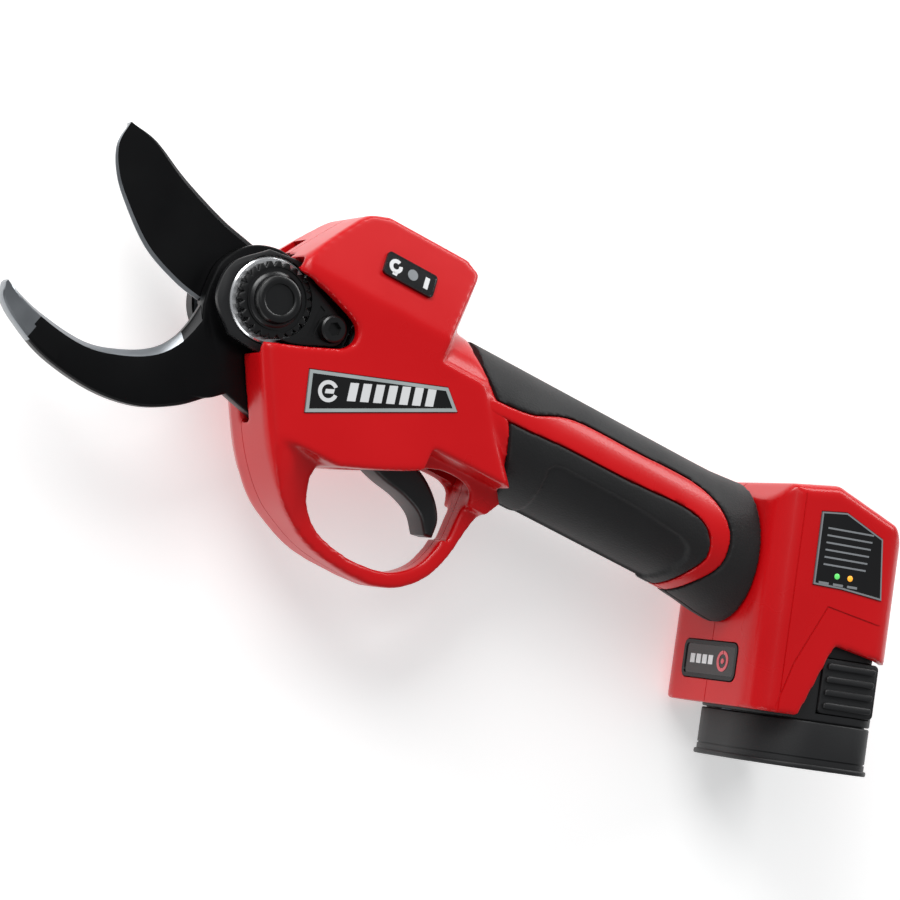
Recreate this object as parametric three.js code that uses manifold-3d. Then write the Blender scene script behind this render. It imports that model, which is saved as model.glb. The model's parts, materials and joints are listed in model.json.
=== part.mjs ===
// Battery electric pruner, lying on its side, in millimetres.
// +Z points up out of the tool's left side, +X runs along the handle from the pivot to the battery,
// and +Y points to the tool's back. Everything is drawn about the blade pivot, and the last group
// moves the whole tool so that its origin is the middle of its underside.
import * as THREE from 'three';
import { mergeVertices } from 'three/addons/utils/BufferGeometryUtils.js';
import { ConvexGeometry } from 'three/addons/geometries/ConvexGeometry.js';
import Module from 'manifold-3d';

const wasm = await Module();
wasm.setup();

// ---- driving sizes ----
const GAP = 0.3; // between pieces that touch
const RUN = 0.06; // radial clearance of a running fit
const SPLIT = 0.15; // half the parting gap between the two shells

const HEAD_HALF = 19; // half width of the head
const HEAD_WALL = 2.5;
const CHEEK_Y = 12; // the upper cheeks slope in from here
const CHEEK_TOP_HALF = 11.5; // half width at the head's top edge
const HEAD_TOP = 36.3;
const GUARD_FRONT_HALF = 12; // half width of the finger guard at the front
const GUARD_REAR_HALF = 4.5; // and at its bottom and rear

const GRIP_R = 18.5; // outside of the rubber
const RUBBER = 2.0;
const GRIP_WALL = 2.1;
const COLLAR_R = 20.2;
const GRIP_END = 166;

const BASE_TILT = 16; // degrees, the battery leans back
const BASE_X = 200.4; // the battery's foot, from the pivot
const BASE_Y = -51.8;
const BASE_HALF = 28;
const BASE_WALL = 2.2;
const BASE_ROUND = 8;
const BASE_FRONT = -20;
const BASE_REAR = 25.8;
const BASE_FOOT = 15; // the housing's lower edge above the battery's foot

const PACK_FRONT = -13.8;
const PACK_REAR = 25.8;
const PACK_HALF = 25;
const PACK_ROUND = 9;
const PACK_FRONT_ROUND = 14;
const PACK_SPLIT = 14;
const CELL_R = 9.15;
const CELL_LENGTH = 65;
const CELL_FOOT = 1.9;
const CELL_MIDDLE = 4.6;

const BOLT_R = 4;
const BLADE_THICK = 3.5;
const BLADE_TOP = -0.1;
const HOOK_FOOT = 0.1;
const HOOK_THICK = 4.5;
const SECTOR_TOP = BLADE_TOP - BLADE_THICK - 0.2;
const SECTOR_FOOT = -12.7;
const FRAME_TOP = -13.1;
const FRAME_FOOT = -16.2;
const BUSH_WALL = 1.2;
const RING_R = 11.8;
const RING_TOP = 11.5;
const COVER_FOOT = 9.5;
const COVER_TOP = 11.6;
const NUT_R = 10.6;
const NUT_TEETH = 24;
const NUT_FLANGE = 3.3;
const NUT_HUB_R = 6.4;
const NUT_TOP = 18;
const LOCK_THICK = 2.7;
const LOCK_X = 18; // the lock screw, behind the pivot

const BEVEL_MODULE = 1.25;
const PINION_TEETH = 12;
const SECTOR_TEETH = 36; // if it were a whole wheel
const SECTOR_CUT = 8; // teeth that the sector really has
const BEVEL_FACE = 8;
const PINION_SHAFT_R = 4;

const BEARING_R = 11;
const BEARING_X = 25.5;
const BEARING_WIDTH = 7;
const BLOCK_HALF = 13.2;

const STAGE_MODULE = 0.5;
const SUN_TEETH = 15;
const PLANET_TEETH = 15;
const STAGE_FACE = 6;
const GEARBOX_R = 13.6;
const CARRIER_X = 38.6;
const MOTOR_R = 13.85;
const MOTOR_X = 51;
const MOTOR_LENGTH = 38;

const TRIGGER_X = 46;
const TRIGGER_Y = -18.2;
const TRIGGER_HALF = 5.5;
const TRIGGER_PIN_R = 1.5;

const BUTTON_HALF = 15;
const BUTTON_LOW = 22;
const BUTTON_HIGH = 33;
const LATCH_IN = 22.4;
const LATCH_OUT = 26.3;
const LATCH_FLOOR = 19.3;

const SCREW_R = 1.5;
const SCREW_HEAD_R = 2.8;
const ROUND = 24; // sides of a large circle
const SMALL = 10; // sides of a small one

// ---- materials ----
function finish(color, roughness, metalness) {
  return new THREE.MeshStandardMaterial({ color, roughness, metalness });
}
const RED = finish(0xd0141c, 0.32, 0);
const RUBBER_BLACK = finish(0x1b1c1d, 0.75, 0);
const BLACK_PLASTIC = finish(0x141516, 0.45, 0);
const GLOSS_BLACK = finish(0x0c0d0e, 0.2, 0);
const BLACK_STEEL = finish(0x17181a, 0.42, 0.8);
const STEEL = finish(0xb4b8bc, 0.3, 1);
const CHROME = finish(0xe6e8ea, 0.08, 1);
const BRONZE = finish(0xb08a4a, 0.4, 1);
const ALUMINIUM = finish(0xa8abad, 0.45, 1);
const ZINC = finish(0xc4c6c6, 0.35, 1);
const BOARD_GREEN = finish(0x1f5a38, 0.5, 0);
const CELL_WRAP = finish(0x2f6f9e, 0.45, 0);
const WIRE_RED = finish(0xb01818, 0.5, 0);
const WIRE_BLACK = finish(0x151515, 0.5, 0);
const COPPER = finish(0xb87248, 0.35, 1);

// ---- solids ----
function merged(geometry) {
  const bare = geometry.index ? geometry.toNonIndexed() : geometry.clone();
  bare.deleteAttribute('normal');
  bare.deleteAttribute('uv');
  return mergeVertices(bare, 1e-4);
}

function signedVolume(geometry) {
  const place = geometry.attributes.position;
  const corner = [new THREE.Vector3(), new THREE.Vector3(), new THREE.Vector3()];
  let sum = 0;
  for (let i = 0; i < geometry.index.count; i += 3) {
    corner.forEach((point, k) => point.fromBufferAttribute(place, geometry.index.getX(i + k)));
    sum += corner[0].dot(corner[1].cross(corner[2])) / 6;
  }
  return sum;
}

function solid(geometry) {
  const mesh = merged(geometry);
  const triVerts = new Uint32Array(mesh.index.array);
  if (signedVolume(mesh) < 0) {
    for (let i = 0; i < triVerts.length; i += 3) {
      [triVerts[i], triVerts[i + 1]] = [triVerts[i + 1], triVerts[i]];
    }
  }
  const vertProperties = new Float32Array(mesh.attributes.position.array);
  return new wasm.Manifold(new wasm.Mesh({ numProp: 3, vertProperties, triVerts }));
}

function geometryOf(body) {
  const mesh = body.getMesh();
  const geometry = new THREE.BufferGeometry();
  geometry.setAttribute('position', new THREE.BufferAttribute(new Float32Array(mesh.vertProperties), 3));
  geometry.setIndex(new THREE.BufferAttribute(new Uint32Array(mesh.triVerts), 1));
  geometry.computeVertexNormals();
  return geometry;
}

function joined(...bodies) {
  return bodies.reduce((sum, body) => sum.add(body));
}

function cut(body, ...tools) {
  return tools.reduce((rest, tool) => rest.subtract(tool), body);
}

function shapeOf(outline) {
  if (outline instanceof THREE.Shape) return outline;
  return new THREE.Shape(outline.map(([x, y]) => new THREE.Vector2(x, y)));
}

// The outline's points, spaced out so that a rounded edge has room beside each corner.
function cleanPoints(shape, space = 0.05) {
  const points = [];
  for (const point of shape.getPoints(3)) {
    if (points.length === 0 || point.distanceTo(points.at(-1)) > space) points.push(point);
  }
  while (points[0].distanceTo(points.at(-1)) < space) points.pop();
  return points;
}

// An outline in the XY plane, extruded from one height to another, its edges rounded by bevel.
function plate(outline, low, high, bevel = 0, bevelSegments = 2) {
  const points = cleanPoints(shapeOf(outline), Math.max(0.05, bevel * 1.2));
  const geometry = new THREE.ExtrudeGeometry(new THREE.Shape(points), {
    depth: high - low - 2 * bevel,
    bevelEnabled: bevel > 0,
    bevelThickness: bevel,
    bevelSize: bevel,
    bevelOffset: -bevel,
    bevelSegments,
  });
  return solid(geometry.translate(0, 0, low + bevel));
}

// A profile of [radius, height] turned about Z, or about X when along is 'x'.
function spun(profile, along = 'z', sides = ROUND) {
  const points = profile.map(([r, h]) => new THREE.Vector2(r, h));
  const geometry = new THREE.LatheGeometry(points, sides);
  return solid(along === 'x' ? geometry.rotateZ(-Math.PI / 2) : geometry.rotateX(Math.PI / 2));
}

function rod(radius, low, high, along = 'z', sides = ROUND) {
  return spun([[0, low], [radius, low], [radius, high], [0, high]], along, sides);
}

function tube(outer, inner, low, high, along = 'z', sides = ROUND) {
  return spun([[inner, low], [outer, low], [outer, high], [inner, high], [inner, low]], along, sides);
}

function block(x0, x1, y0, y1, z0, z1) {
  const geometry = new THREE.BoxGeometry(x1 - x0, y1 - y0, z1 - z0);
  return solid(geometry.translate((x0 + x1) / 2, (y0 + y1) / 2, (z0 + z1) / 2));
}

function curved(start, ...stretches) {
  const shape = new THREE.Shape();
  shape.moveTo(...start);
  for (const stretch of stretches) {
    if (stretch.length === 1) shape.lineTo(...stretch[0]);
    else shape.splineThru(stretch.map(([x, y]) => new THREE.Vector2(x, y)));
  }
  return shape;
}

// front is the radius of the two corners at x0, where that differs.
function roundedBox(x0, x1, y0, y1, radius, front = radius) {
  const shape = new THREE.Shape();
  const corners = [[x1 - radius, y0 + radius, -90, radius], [x1 - radius, y1 - radius, 0, radius],
    [x0 + front, y1 - front, 90, front], [x0 + front, y0 + front, 180, front]];
  for (const [x, y, from, r] of corners) {
    shape.absarc(x, y, r, THREE.MathUtils.degToRad(from), THREE.MathUtils.degToRad(from + 90));
  }
  return shape;
}

// The outline moved in by a wall's thickness, point by point.
function inset(shape, distance) {
  const points = cleanPoints(shape);
  const turn = THREE.ShapeUtils.isClockWise(points) ? -1 : 1;
  return points.map((point, i) => {
    const before = point.clone().sub(points.at(i - 1)).normalize();
    const after = points[(i + 1) % points.length].clone().sub(point).normalize();
    const side = new THREE.Vector2(-before.y - after.y,
      before.x + after.x).multiplyScalar(turn).normalize();
    const lean = Math.max(0.5, Math.abs(side.dot(new THREE.Vector2(-after.y, after.x))));
    return [point.x + side.x * distance / lean, point.y + side.y * distance / lean];
  });
}

// A band of changing half width along a path of [x, y, half width].
function band(path, extra = 0) {
  const line = new THREE.CatmullRomCurve3(path.map(([x, y, h]) => new THREE.Vector3(x, y, h)));
  const near = [];
  const far = [];
  for (let i = 0; i <= 24; i += 1) {
    const point = line.getPoint(i / 24);
    const along = line.getTangent(i / 24).setZ(0).normalize();
    const half = point.z + extra;
    near.push([point.x - along.y * half, point.y + along.x * half]);
    far.unshift([point.x + along.y * half, point.y - along.x * half]);
  }
  return near.concat(far);
}

function halfOf(body, side) {
  const big = 400;
  return side > 0
    ? body.intersect(block(-big, big, -big, big, SPLIT, big))
    : body.intersect(block(-big, big, -big, big, -big, -SPLIT));
}

// Base pieces are drawn upright, u along the battery's depth and v up from its foot, then leant.
function leant(body) {
  const geometry = geometryOf(body);
  geometry.rotateZ(THREE.MathUtils.degToRad(BASE_TILT)).translate(BASE_X, BASE_Y, 0);
  return solid(geometry);
}

// An outline in the u-z plane, raised along v.
function raised(shape, low, high) {
  const geometry = new THREE.ExtrudeGeometry(shape, { depth: high - low, bevelEnabled: false,
    curveSegments: 4 });
  return solid(geometry.translate(0, 0, low).rotateX(-Math.PI / 2));
}

// A round wire of sides corners along a list of points.
function wire(points, radius, steps, sides = 6) {
  const circle = new THREE.Shape();
  circle.absarc(0, 0, radius, 0, 2 * Math.PI);
  const path = new THREE.CatmullRomCurve3(points.map((p) => new THREE.Vector3(...p)));
  const section = new THREE.Shape(circle.getSpacedPoints(sides).slice(0, sides));
  return solid(new THREE.ExtrudeGeometry(section, { steps, extrudePath: path, bevelEnabled: false }));
}

function coil(x, y, low, high, radius, turns, wireR) {
  const points = [];
  for (let i = 0; i <= turns * 8; i += 1) {
    const turn = (i / 8) * 2 * Math.PI;
    points.push([x + radius * Math.cos(turn), y + radius * Math.sin(turn),
      low + (high - low) * (i / (turns * 8))]);
  }
  return wire(points, wireR, turns * 8, 4);
}

// ---- outlines of the shells ----
const headOutline = curved([1.5, 13.5],
  [[0, -13.2]],
  [[6, -24], [14.5, -38], [23, -47], [31, -51.5], [41, -55.2], [54, -56.6], [62.5, -56.4]],
  [[71.8, -53.2], [76.8, -48.4], [79.2, -44], [81.3, -38.4], [82.6, -31.2], [84, -26.2]],
  [[88, -20]],
  [[76, -6]], [[64, 10]],
  [[61.5, 18.5]],
  [[60, 26], [55.5, 32], [48.6, HEAD_TOP]],
  [[22, HEAD_TOP]],
  [[15.8, 33.6], [11.5, 28.5], [5.5, 19.8], [1.5, 13.5]]);

const fingerHole = curved([30.3, -38.4],
  [[33, -45], [39, -50.2], [46, -52.4], [54, -53.2], [61.3, -52.8]],
  [[67.5, -51.2], [73.6, -46.6], [76.9, -40], [78.6, -32], [79.8, -26.5]],
  [[78.8, -21.2], [74.5, -19.2], [69, -19], [63, -20.8], [54, -25.6], [45, -29.4], [36, -32.8]],
  [[31.2, -34.6], [30.3, -38.4]]);

// What stays of the tear-drop window over the pivot, seen from the left side.
const windowOutline = curved([-30, 18],
  [[-30, -19.5]],
  [[-8.6, -19.5]],
  [[-6.4, -16.2], [-1.6, -12.9], [4, -11], [11, -8.6], [18.5, -5.6]],
  [[22.6, -3.6], [24.6, 0], [23.2, 3.4], [20, 5.2]],
  [[10, 8.4], [-1, 10.2]],
  [[-4, 18]]);

// The line where the red of the head gives way to the rubber of the grip.
function redRegion(extra) {
  return [[40, 24], [60 + extra, 24], [61 + extra, 14], [70 + extra, 4 + extra], [76 + extra, 0.4],
    [88.5 + extra, -24], [40, -24]];
}
const stripePath = [[70, 2.0, 1.6], [82, 2.4, 2.2], [96, 5.2, 4.2], [118, 5.6, 4.3], [139, 6, 4],
  [149.6, 1.6, 3.4], [153.4, -7, 2.6], [150.4, -15, 1.9], [146, -24, 1.6]];

const housingOutline = curved([BASE_FRONT, 5],
  [[BASE_REAR, 5]],
  [[BASE_REAR, 67]],
  [[21, 74]],
  [[6, 80]],
  [[0, 82.4]],
  [[-15.5, 80.8]],
  [[BASE_FRONT, 75.5]]);
const housingFoot = [[BASE_FRONT - 10, BASE_FOOT], [-5, BASE_FOOT], [4.5, 36.5], [BASE_REAR + 10, 30.8],
  [BASE_REAR + 10, -20], [BASE_FRONT - 10, -20]];

// ---- the red shells ----
function headSolid() {
  const body = plate(headOutline, -HEAD_HALF, HEAD_HALF, 3, 1);
  const cheeks = new THREE.Shape([
    [-HEAD_HALF, -90], [HEAD_HALF, -90], [HEAD_HALF, CHEEK_Y], [CHEEK_TOP_HALF, HEAD_TOP + 1],
    [-CHEEK_TOP_HALF, HEAD_TOP + 1], [-HEAD_HALF, CHEEK_Y]].map(([z, y]) => new THREE.Vector2(z, y)));
  const across = new THREE.ExtrudeGeometry(cheeks, { depth: 300, bevelEnabled: false });
  const wedge = solid(across.rotateY(-Math.PI / 2).translate(200, 0, 0));
  const guardTaper = [[-30, HEAD_HALF], [14, HEAD_HALF], [24, GUARD_FRONT_HALF], [40, 8],
    [56, GUARD_REAR_HALF], [120, GUARD_REAR_HALF]];
  const rim = guardTaper.concat(guardTaper.map(([x, z]) => [x, -z]).reverse());
  const narrow = raised(new THREE.Shape(rim.map(([x, z]) => new THREE.Vector2(x, z))), -90, -20);
  const upper = block(-50, 200, -33.5, 60, -40, 40);
  const keep = joined(narrow, cut(upper, block(72, 200, -60, -24, -50, 50)));
  const hole = plate(fingerHole, -50, 50);
  return cut(body.intersect(wedge).intersect(keep), hole);
}

function gripSkin(low, high, outer, inner) {
  return tube(outer, inner, low, high, 'x');
}

function housingSolid(wall) {
  const shape = wall > 0 ? inset(housingOutline, wall) : housingOutline;
  const half = BASE_HALF - wall;
  const plan = roundedBox(BASE_FRONT + wall, BASE_REAR - wall, -half, half, BASE_ROUND - wall);
  return plate(shape, -half, half, 1.2, 1).intersect(raised(plan, -20, 120));
}

function headCavity() {
  const inner = plate(inset(headOutline, HEAD_WALL), -HEAD_HALF + HEAD_WALL, HEAD_HALF - HEAD_WALL);
  const cheek = new THREE.Shape([
    [-16.5, -31], [16.5, -31], [16.5, CHEEK_Y + 1.5], [CHEEK_TOP_HALF - 2, HEAD_TOP],
    [2 - CHEEK_TOP_HALF, HEAD_TOP], [-16.5, CHEEK_Y + 1.5]].map(([z, y]) => new THREE.Vector2(z, y)));
  const across = new THREE.ExtrudeGeometry(cheek, { depth: 300, bevelEnabled: false });
  const wedge = solid(across.rotateY(-Math.PI / 2).translate(200, 0, 0));
  const room = cut(inner.intersect(wedge), plate(inset(fingerHole, -HEAD_WALL), -50, 50));
  const behindTrigger = block(64, 120, -40, 30, -50, 50);
  const side = HEAD_HALF - HEAD_WALL;
  const mouth = joined(block(-30, 8, -13, 13.2, -side, side), block(-30, 4.4, -14.8, 13.9, -side, side));
  const bladeSlot = block(-30, 20, -31.6, 16.2, -5, HOOK_FOOT + HOOK_THICK + 0.4);
  const sectorRoom = rod(24.6, SECTOR_FOOT - 0.4, -4).intersect(block(3, 40, -40, 40, -40, 40));
  const triggerSlot = block(TRIGGER_X - 6, 77, -36, -12, -TRIGGER_HALF - 0.5, TRIGGER_HALF + 0.5);
  return joined(cut(room, behindTrigger), mouth, bladeSlot, triggerSlot, sectorRoom);
}

const BOSSES = [[15, 27], [51, 26.5], [22.4, -41.3]];
const BASE_BOSS = [-12.5, 76.2, 0];

function leanPoint([u, v, z]) {
  const turned = new THREE.Vector3(u, v, z).applyAxisAngle(new THREE.Vector3(0, 0, 1),
    THREE.MathUtils.degToRad(BASE_TILT));
  return [turned.x + BASE_X, turned.y + BASE_Y, turned.z];
}

function bossPlaces() {
  return BOSSES.concat([leanPoint(BASE_BOSS)]);
}

function bossFoot(index) {
  return index < BOSSES.length ? -CHEEK_TOP_HALF : 3 - BASE_HALF;
}

function shellSolid(side) {
  const coreR = GRIP_R - RUBBER - GAP;
  const core = gripSkin(50, GRIP_END + 6, coreR, 6);
  const skin = gripSkin(50, 160, GRIP_R, coreR - 0.5);
  const redSkin = skin.intersect(joined(plate(redRegion(0), -40, 40), plate(band(stripePath), -40, 40)));
  const housing = leant(cut(housingSolid(0), plate(housingFoot, -50, 50)));
  let body = joined(headSolid(), core, redSkin, housing);
  const gripBore = rod(coreR - GRIP_WALL, 34, GRIP_END - 10, 'x');
  const wireWay = rod(8, GRIP_END - 12, 190, 'x');
  body = cut(body, headCavity(), gripBore, wireWay, leant(housingSolid(BASE_WALL)));
  body = cut(body, leant(raised(packShape(GAP), -5, 34)));
  const posts = bossPlaces().map(([x, y], i) => {
    const end = 1.5 - bossFoot(i);
    return rod(3.7, -end, end, 'z', SMALL).translate([x, y, 0]);
  });
  body = joined(body, ...posts.slice(0, 2), posts[3]);
  const bores = bossPlaces().map(([x, y]) => rod(SCREW_R + RUN, -40, 12, 'z', SMALL).translate([x, y, 0]));
  const sinks = bossPlaces().map(([x, y], i) => rod(SCREW_HEAD_R + GAP, -40, bossFoot(i), 'z',
    SMALL).translate([x, y, 0]));
  body = cut(body, ...bores, ...sinks, buttonHole(), platePockets());
  body = cut(body, rod(TRIGGER_PIN_R + RUN, -9, 9, 'z', SMALL).translate([TRIGGER_X, TRIGGER_Y, 0]));
  if (side > 0) body = cut(body, plate(windowOutline, 5, 40));
  else body = cut(joined(body, pivotCap()), rod(8.3, -30, -10));
  body = cut(body, bladeSweep());
  return largest(halfOf(body, side));
}

function largest(body) {
  return body.decompose().reduce((best, piece) => (piece.volume() > best.volume() ? piece : best));
}

// The far shell covers the pivot with a round cap, open for the bolt's head.
function pivotCap() {
  return rod(14.5, -HEAD_HALF, -HEAD_HALF + HEAD_WALL);
}

function bladeSweep() {
  return rod(17.5, -5, BLADE_TOP);
}

function buttonHole() {
  const grow = 0.35;
  const shape = roundedBox(-BUTTON_HALF - grow, BUTTON_HALF + grow, BUTTON_LOW - grow,
    BUTTON_HIGH + grow, 2.5);
  const geometry = new THREE.ExtrudeGeometry(shape, { depth: 8, bevelEnabled: false, curveSegments: 4 });
  return leant(solid(geometry.rotateY(-Math.PI / 2).translate(BASE_FRONT + 4, 0, 0)));
}

const nameOutline = [[15.3, -13.4], [54.6, -0.1], [59.9, -4.9], [18.9, -24.5]];
const ratingOutline = [[-6, 53], [3.5, 52.8], [17.6, 51.4], [15.4, 69], [2.2, 74.8], [-6.2, 74]];

function grown(outline, extra) {
  return inset(new THREE.Shape(outline.map(([x, y]) => new THREE.Vector2(x, y))), -extra);
}

function platePockets() {
  return joined(
    plate(grown(nameOutline, GAP), HEAD_HALF - 0.7, HEAD_HALF + 5),
    leant(plate(grown(ratingOutline, GAP), BASE_HALF - 0.7, BASE_HALF + 5)));
}

// ---- rubber ----
function rubberSleeve() {
  const coreR = GRIP_R - RUBBER;
  const profile = [[coreR, 50], [GRIP_R, 50], [GRIP_R, 140], [GRIP_R + 0.3, 150], [COLLAR_R, GRIP_END],
    [COLLAR_R, GRIP_END + 10], [coreR, GRIP_END + 10], [coreR, 50]];
  const clear = plate([[BASE_FRONT - GAP, -60], [60, -60], [60, 140], [BASE_FRONT - GAP, 140]], -60, 60);
  const headCut = plate(redRegion(GAP), -40, 40);
  const stripe = plate(band(stripePath, GAP), -40, 40);
  return cut(spun(profile, 'x'), leant(clear), headCut, headSolid(), stripe);
}

function gripPieces(side) {
  const pieces = halfOf(rubberSleeve(), side).decompose().filter((piece) => piece.volume() > 300);
  return pieces.sort((a, b) => b.boundingBox().max[0] - a.boundingBox().max[0]);
}

// ---- blades and pivot ----
const bladeOutline = curved([-52.5, 27.9],
  [[-53.4, 21], [-50.4, 14.4], [-45.2, 8.2], [-34.6, -0.5], [-23.1, -5], [-14, -6.8]],
  [[-11, -9], [-5, -12.2], [3, -12.4], [9.4, -8.8], [12.4, -2], [11, 5.8], [5, 11.6], [-1, 12.8]],
  [[-9, 14.6], [-18, 16.6], [-31.8, 21.4], [-43.7, 26.8]],
  [[-52.5, 27.9]]);

const hookOutline = curved([-66.5, -26.5],
  [[-67.2, -29], [-65.9, -31.6], [-60.2, -35.8], [-49.1, -40.6], [-33.6, -42.8], [-20.3, -41.2],
    [-9.9, -36.2], [-2.9, -30.5], [1.4, -27]],
  [[16, -30.8]],
  [[32.5, -30.8]],
  [[32.5, -15]],
  [[22, -14]],
  [[13.4, -11]],
  [[13.2, 8]],
  [[9, 12.6], [0, 15.4], [-9, 12.6], [-14.6, 5.4], [-15.4, -2], [-15.2, -8.2]],
  [[-15.8, -13.9], [-17.8, -19.3], [-21.9, -24.4], [-29.6, -28.8], [-40.6, -31.8], [-55.2, -30.1],
    [-66.5, -26.5]]);

const BLADE_SCREWS = [[17.2, -25.6], [28, -25.6]];

function movingBlade() {
  const body = plate(bladeOutline, BLADE_TOP - BLADE_THICK, BLADE_TOP, 0.5, 1);
  return cut(body, rod(BOLT_R + BUSH_WALL + RUN, -10, 10), ...drivePins(GAP / 2));
}

function fixedBlade() {
  const body = plate(hookOutline, HOOK_FOOT, HOOK_FOOT + HOOK_THICK, 0.6, 1);
  const holes = BLADE_SCREWS.map(([x, y]) => rod(1.7, -1, 10, 'z', SMALL).translate([x, y, 0]));
  return cut(body, rod(BOLT_R + 0.2, -10, 10), ...holes);
}

// Two studs on the sector stand up into the blade and turn it.
function drivePins(extra) {
  return [60, 240].map((degrees) => {
    const turn = THREE.MathUtils.degToRad(degrees);
    const stud = rod(1.9 + extra, SECTOR_TOP - 1, BLADE_TOP - 0.6 + extra * 2, 'z', SMALL);
    return stud.translate([8.6 * Math.cos(turn), 8.6 * Math.sin(turn), 0]);
  });
}

function spacerRing() {
  const low = HOOK_FOOT + HOOK_THICK + GAP / 2;
  return spun([[BOLT_R + 0.3, low], [RING_R - 0.5, low], [RING_R, low + 0.6], [RING_R, RING_TOP - 0.8],
    [RING_R - 0.8, RING_TOP], [BOLT_R + 0.3, RING_TOP], [BOLT_R + 0.3, low]], 'z', 32);
}

function starNut() {
  const low = RING_TOP + 0.2;
  const shape = new THREE.Shape();
  for (let i = 0; i < NUT_TEETH * 4; i += 1) {
    const turn = (i / (NUT_TEETH * 4)) * 2 * Math.PI;
    const r = i % 4 < 2 ? NUT_R : NUT_R - 1.1;
    if (i === 0) shape.moveTo(r * Math.cos(turn), r * Math.sin(turn));
    else shape.lineTo(r * Math.cos(turn), r * Math.sin(turn));
  }
  const flange = plate(shape, low, low + NUT_FLANGE);
  const hub = spun([[0, low + 1], [NUT_HUB_R, low + 1], [NUT_HUB_R, NUT_TOP - 0.7],
    [NUT_HUB_R - 0.7, NUT_TOP], [0, NUT_TOP]]);
  return cut(joined(flange, hub), rod(BOLT_R + RUN, 0, 30));
}

function pivotBolt() {
  const body = rod(BOLT_R, -HEAD_HALF + 1, NUT_TOP - 1.2);
  const head = spun([[0, -HEAD_HALF - 0.6], [7, -HEAD_HALF - 0.6], [7.8, -HEAD_HALF + 0.2],
    [7.8, FRAME_FOOT - 0.2], [0, FRAME_FOOT - 0.2]]);
  const socket = rod(3.2, -HEAD_HALF - 2, -HEAD_HALF + 1.4, 'z', 6);
  return cut(joined(body, head), socket);
}

const lockOutline = curved([5.5, 10.2],
  [[3.5, -9.6]],
  [[11, -8.2], [17.6, -5.4]],
  [[21.6, -3.6], [23.2, 0], [21.8, 3.2], [18.6, 4.7]]);

function lockPlate() {
  const low = COVER_TOP + 0.2;
  const body = plate(lockOutline, low, low + LOCK_THICK, 0.4, 1);
  return cut(body, rod(NUT_R + 0.25, 0, 30), rod(1.9, 0, 30, 'z', SMALL).translate([LOCK_X, 0, 0]));
}

function lockScrew() {
  const seat = COVER_TOP + 0.2 + LOCK_THICK + 0.15;
  const body = spun([[0, COVER_FOOT + 0.1], [1.7, COVER_FOOT + 0.1], [1.7, seat], [3.9, seat],
    [3.9, seat + 1.8], [3.2, seat + 2.5], [0, seat + 2.5]], 'z', 24);
  return cut(body, rod(1.9, seat + 1, seat + 5, 'z', 6)).translate([LOCK_X, 0, 0]);
}

function gearCover() {
  const outline = curved([-6, 12.4],
    [[-14.4, 4], [-14.4, -6], [-7, -13.6]],
    [[3, -14.4]],
    [[24.9, -12]],
    [[24.9, 11]],
    [[2, 13.4]]);
  const body = plate(outline, COVER_FOOT, COVER_TOP, 0.3, 1);
  const screwHole = rod(1.9, 0, 30, 'z', SMALL).translate([LOCK_X, 0, 0]);
  return cut(body, rod(RING_R + GAP, 0, 30, 'z', 32), screwHole);
}

function gearFrame() {
  const outline = curved([0, 12.7],
    [[-9, 9], [-12.7, 0], [-9, -9], [0, -12.7]],
    [[33, -12.7]],
    [[33, 12.7]]);
  const floor = plate(outline, FRAME_FOOT, FRAME_TOP);
  const bearingBlock = block(BEARING_X - GAP, 33, -BLOCK_HALF, BLOCK_HALF, FRAME_FOOT, BLOCK_HALF);
  const land = plate([[13.4, -22.6], [24, -12], [33, -12], [33, -30.2], [19, -30.2], [15, -28]],
    FRAME_FOOT, HOOK_FOOT - 0.15);
  const body = joined(floor, bearingBlock, cut(land, rod(24.9, FRAME_TOP, 5, 'z', 64)));
  const screws = BLADE_SCREWS.map(([x, y]) => rod(1.5 + RUN, -10, 2, 'z', SMALL).translate([x, y, 0]));
  return cut(body, rod(BOLT_R + RUN, -20, 0), rod(BEARING_R + RUN, BEARING_X - 2, 40, 'x'), ...screws);
}

function bladeScrew([x, y]) {
  const seat = HOOK_FOOT + HOOK_THICK + 0.15;
  const body = spun([[0, -9], [1.5, -9], [1.5, seat], [3, seat], [3, seat + 1.4], [2.4, seat + 2],
    [0, seat + 2]], 'z', SMALL);
  return cut(body, rod(1.4, seat + 1, seat + 4, 'z', 6)).translate([x, y, 0]);
}

// ---- bevel drive ----
const pinionR = BEVEL_MODULE * PINION_TEETH / 2;
const sectorR = BEVEL_MODULE * SECTOR_TEETH / 2;
const coneDistance = Math.hypot(pinionR, sectorR);
const coneShare = (coneDistance - BEVEL_FACE) / coneDistance;
const BEVEL_ADDENDUM = 1.0;
const BEVEL_DEDENDUM = 1.35;

// One straight bevel tooth: a wedge that shrinks towards the cone's point at the pivot.
// axis and out are unit vectors along the gear's axis and outwards through the tooth.
function bevelTooth(radius, reach, axis, out) {
  const side = axis.clone().cross(out);
  const slope = Math.hypot(radius, reach);
  const lift = out.clone().multiplyScalar(reach / slope).addScaledVector(axis, -radius / slope);
  const pitch = out.clone().multiplyScalar(radius).addScaledVector(axis, reach);
  const half = Math.PI * BEVEL_MODULE / 4 - 0.16;
  const rows = [[-BEVEL_DEDENDUM - 0.3, half + 0.5], [BEVEL_ADDENDUM, half - 0.5]];
  const points = [];
  for (const share of [1, coneShare]) {
    for (const [height, width] of rows) {
      for (const hand of [-1, 1]) {
        points.push(pitch.clone().addScaledVector(lift, height).addScaledVector(side,
          hand * width).multiplyScalar(share));
      }
    }
  }
  return solid(new ConvexGeometry(points));
}

function rootPoint(radius, reach, share) {
  const slope = Math.hypot(radius, reach);
  return [(radius - BEVEL_DEDENDUM * reach / slope) * share,
    (reach + BEVEL_DEDENDUM * radius / slope) * share];
}

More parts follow.
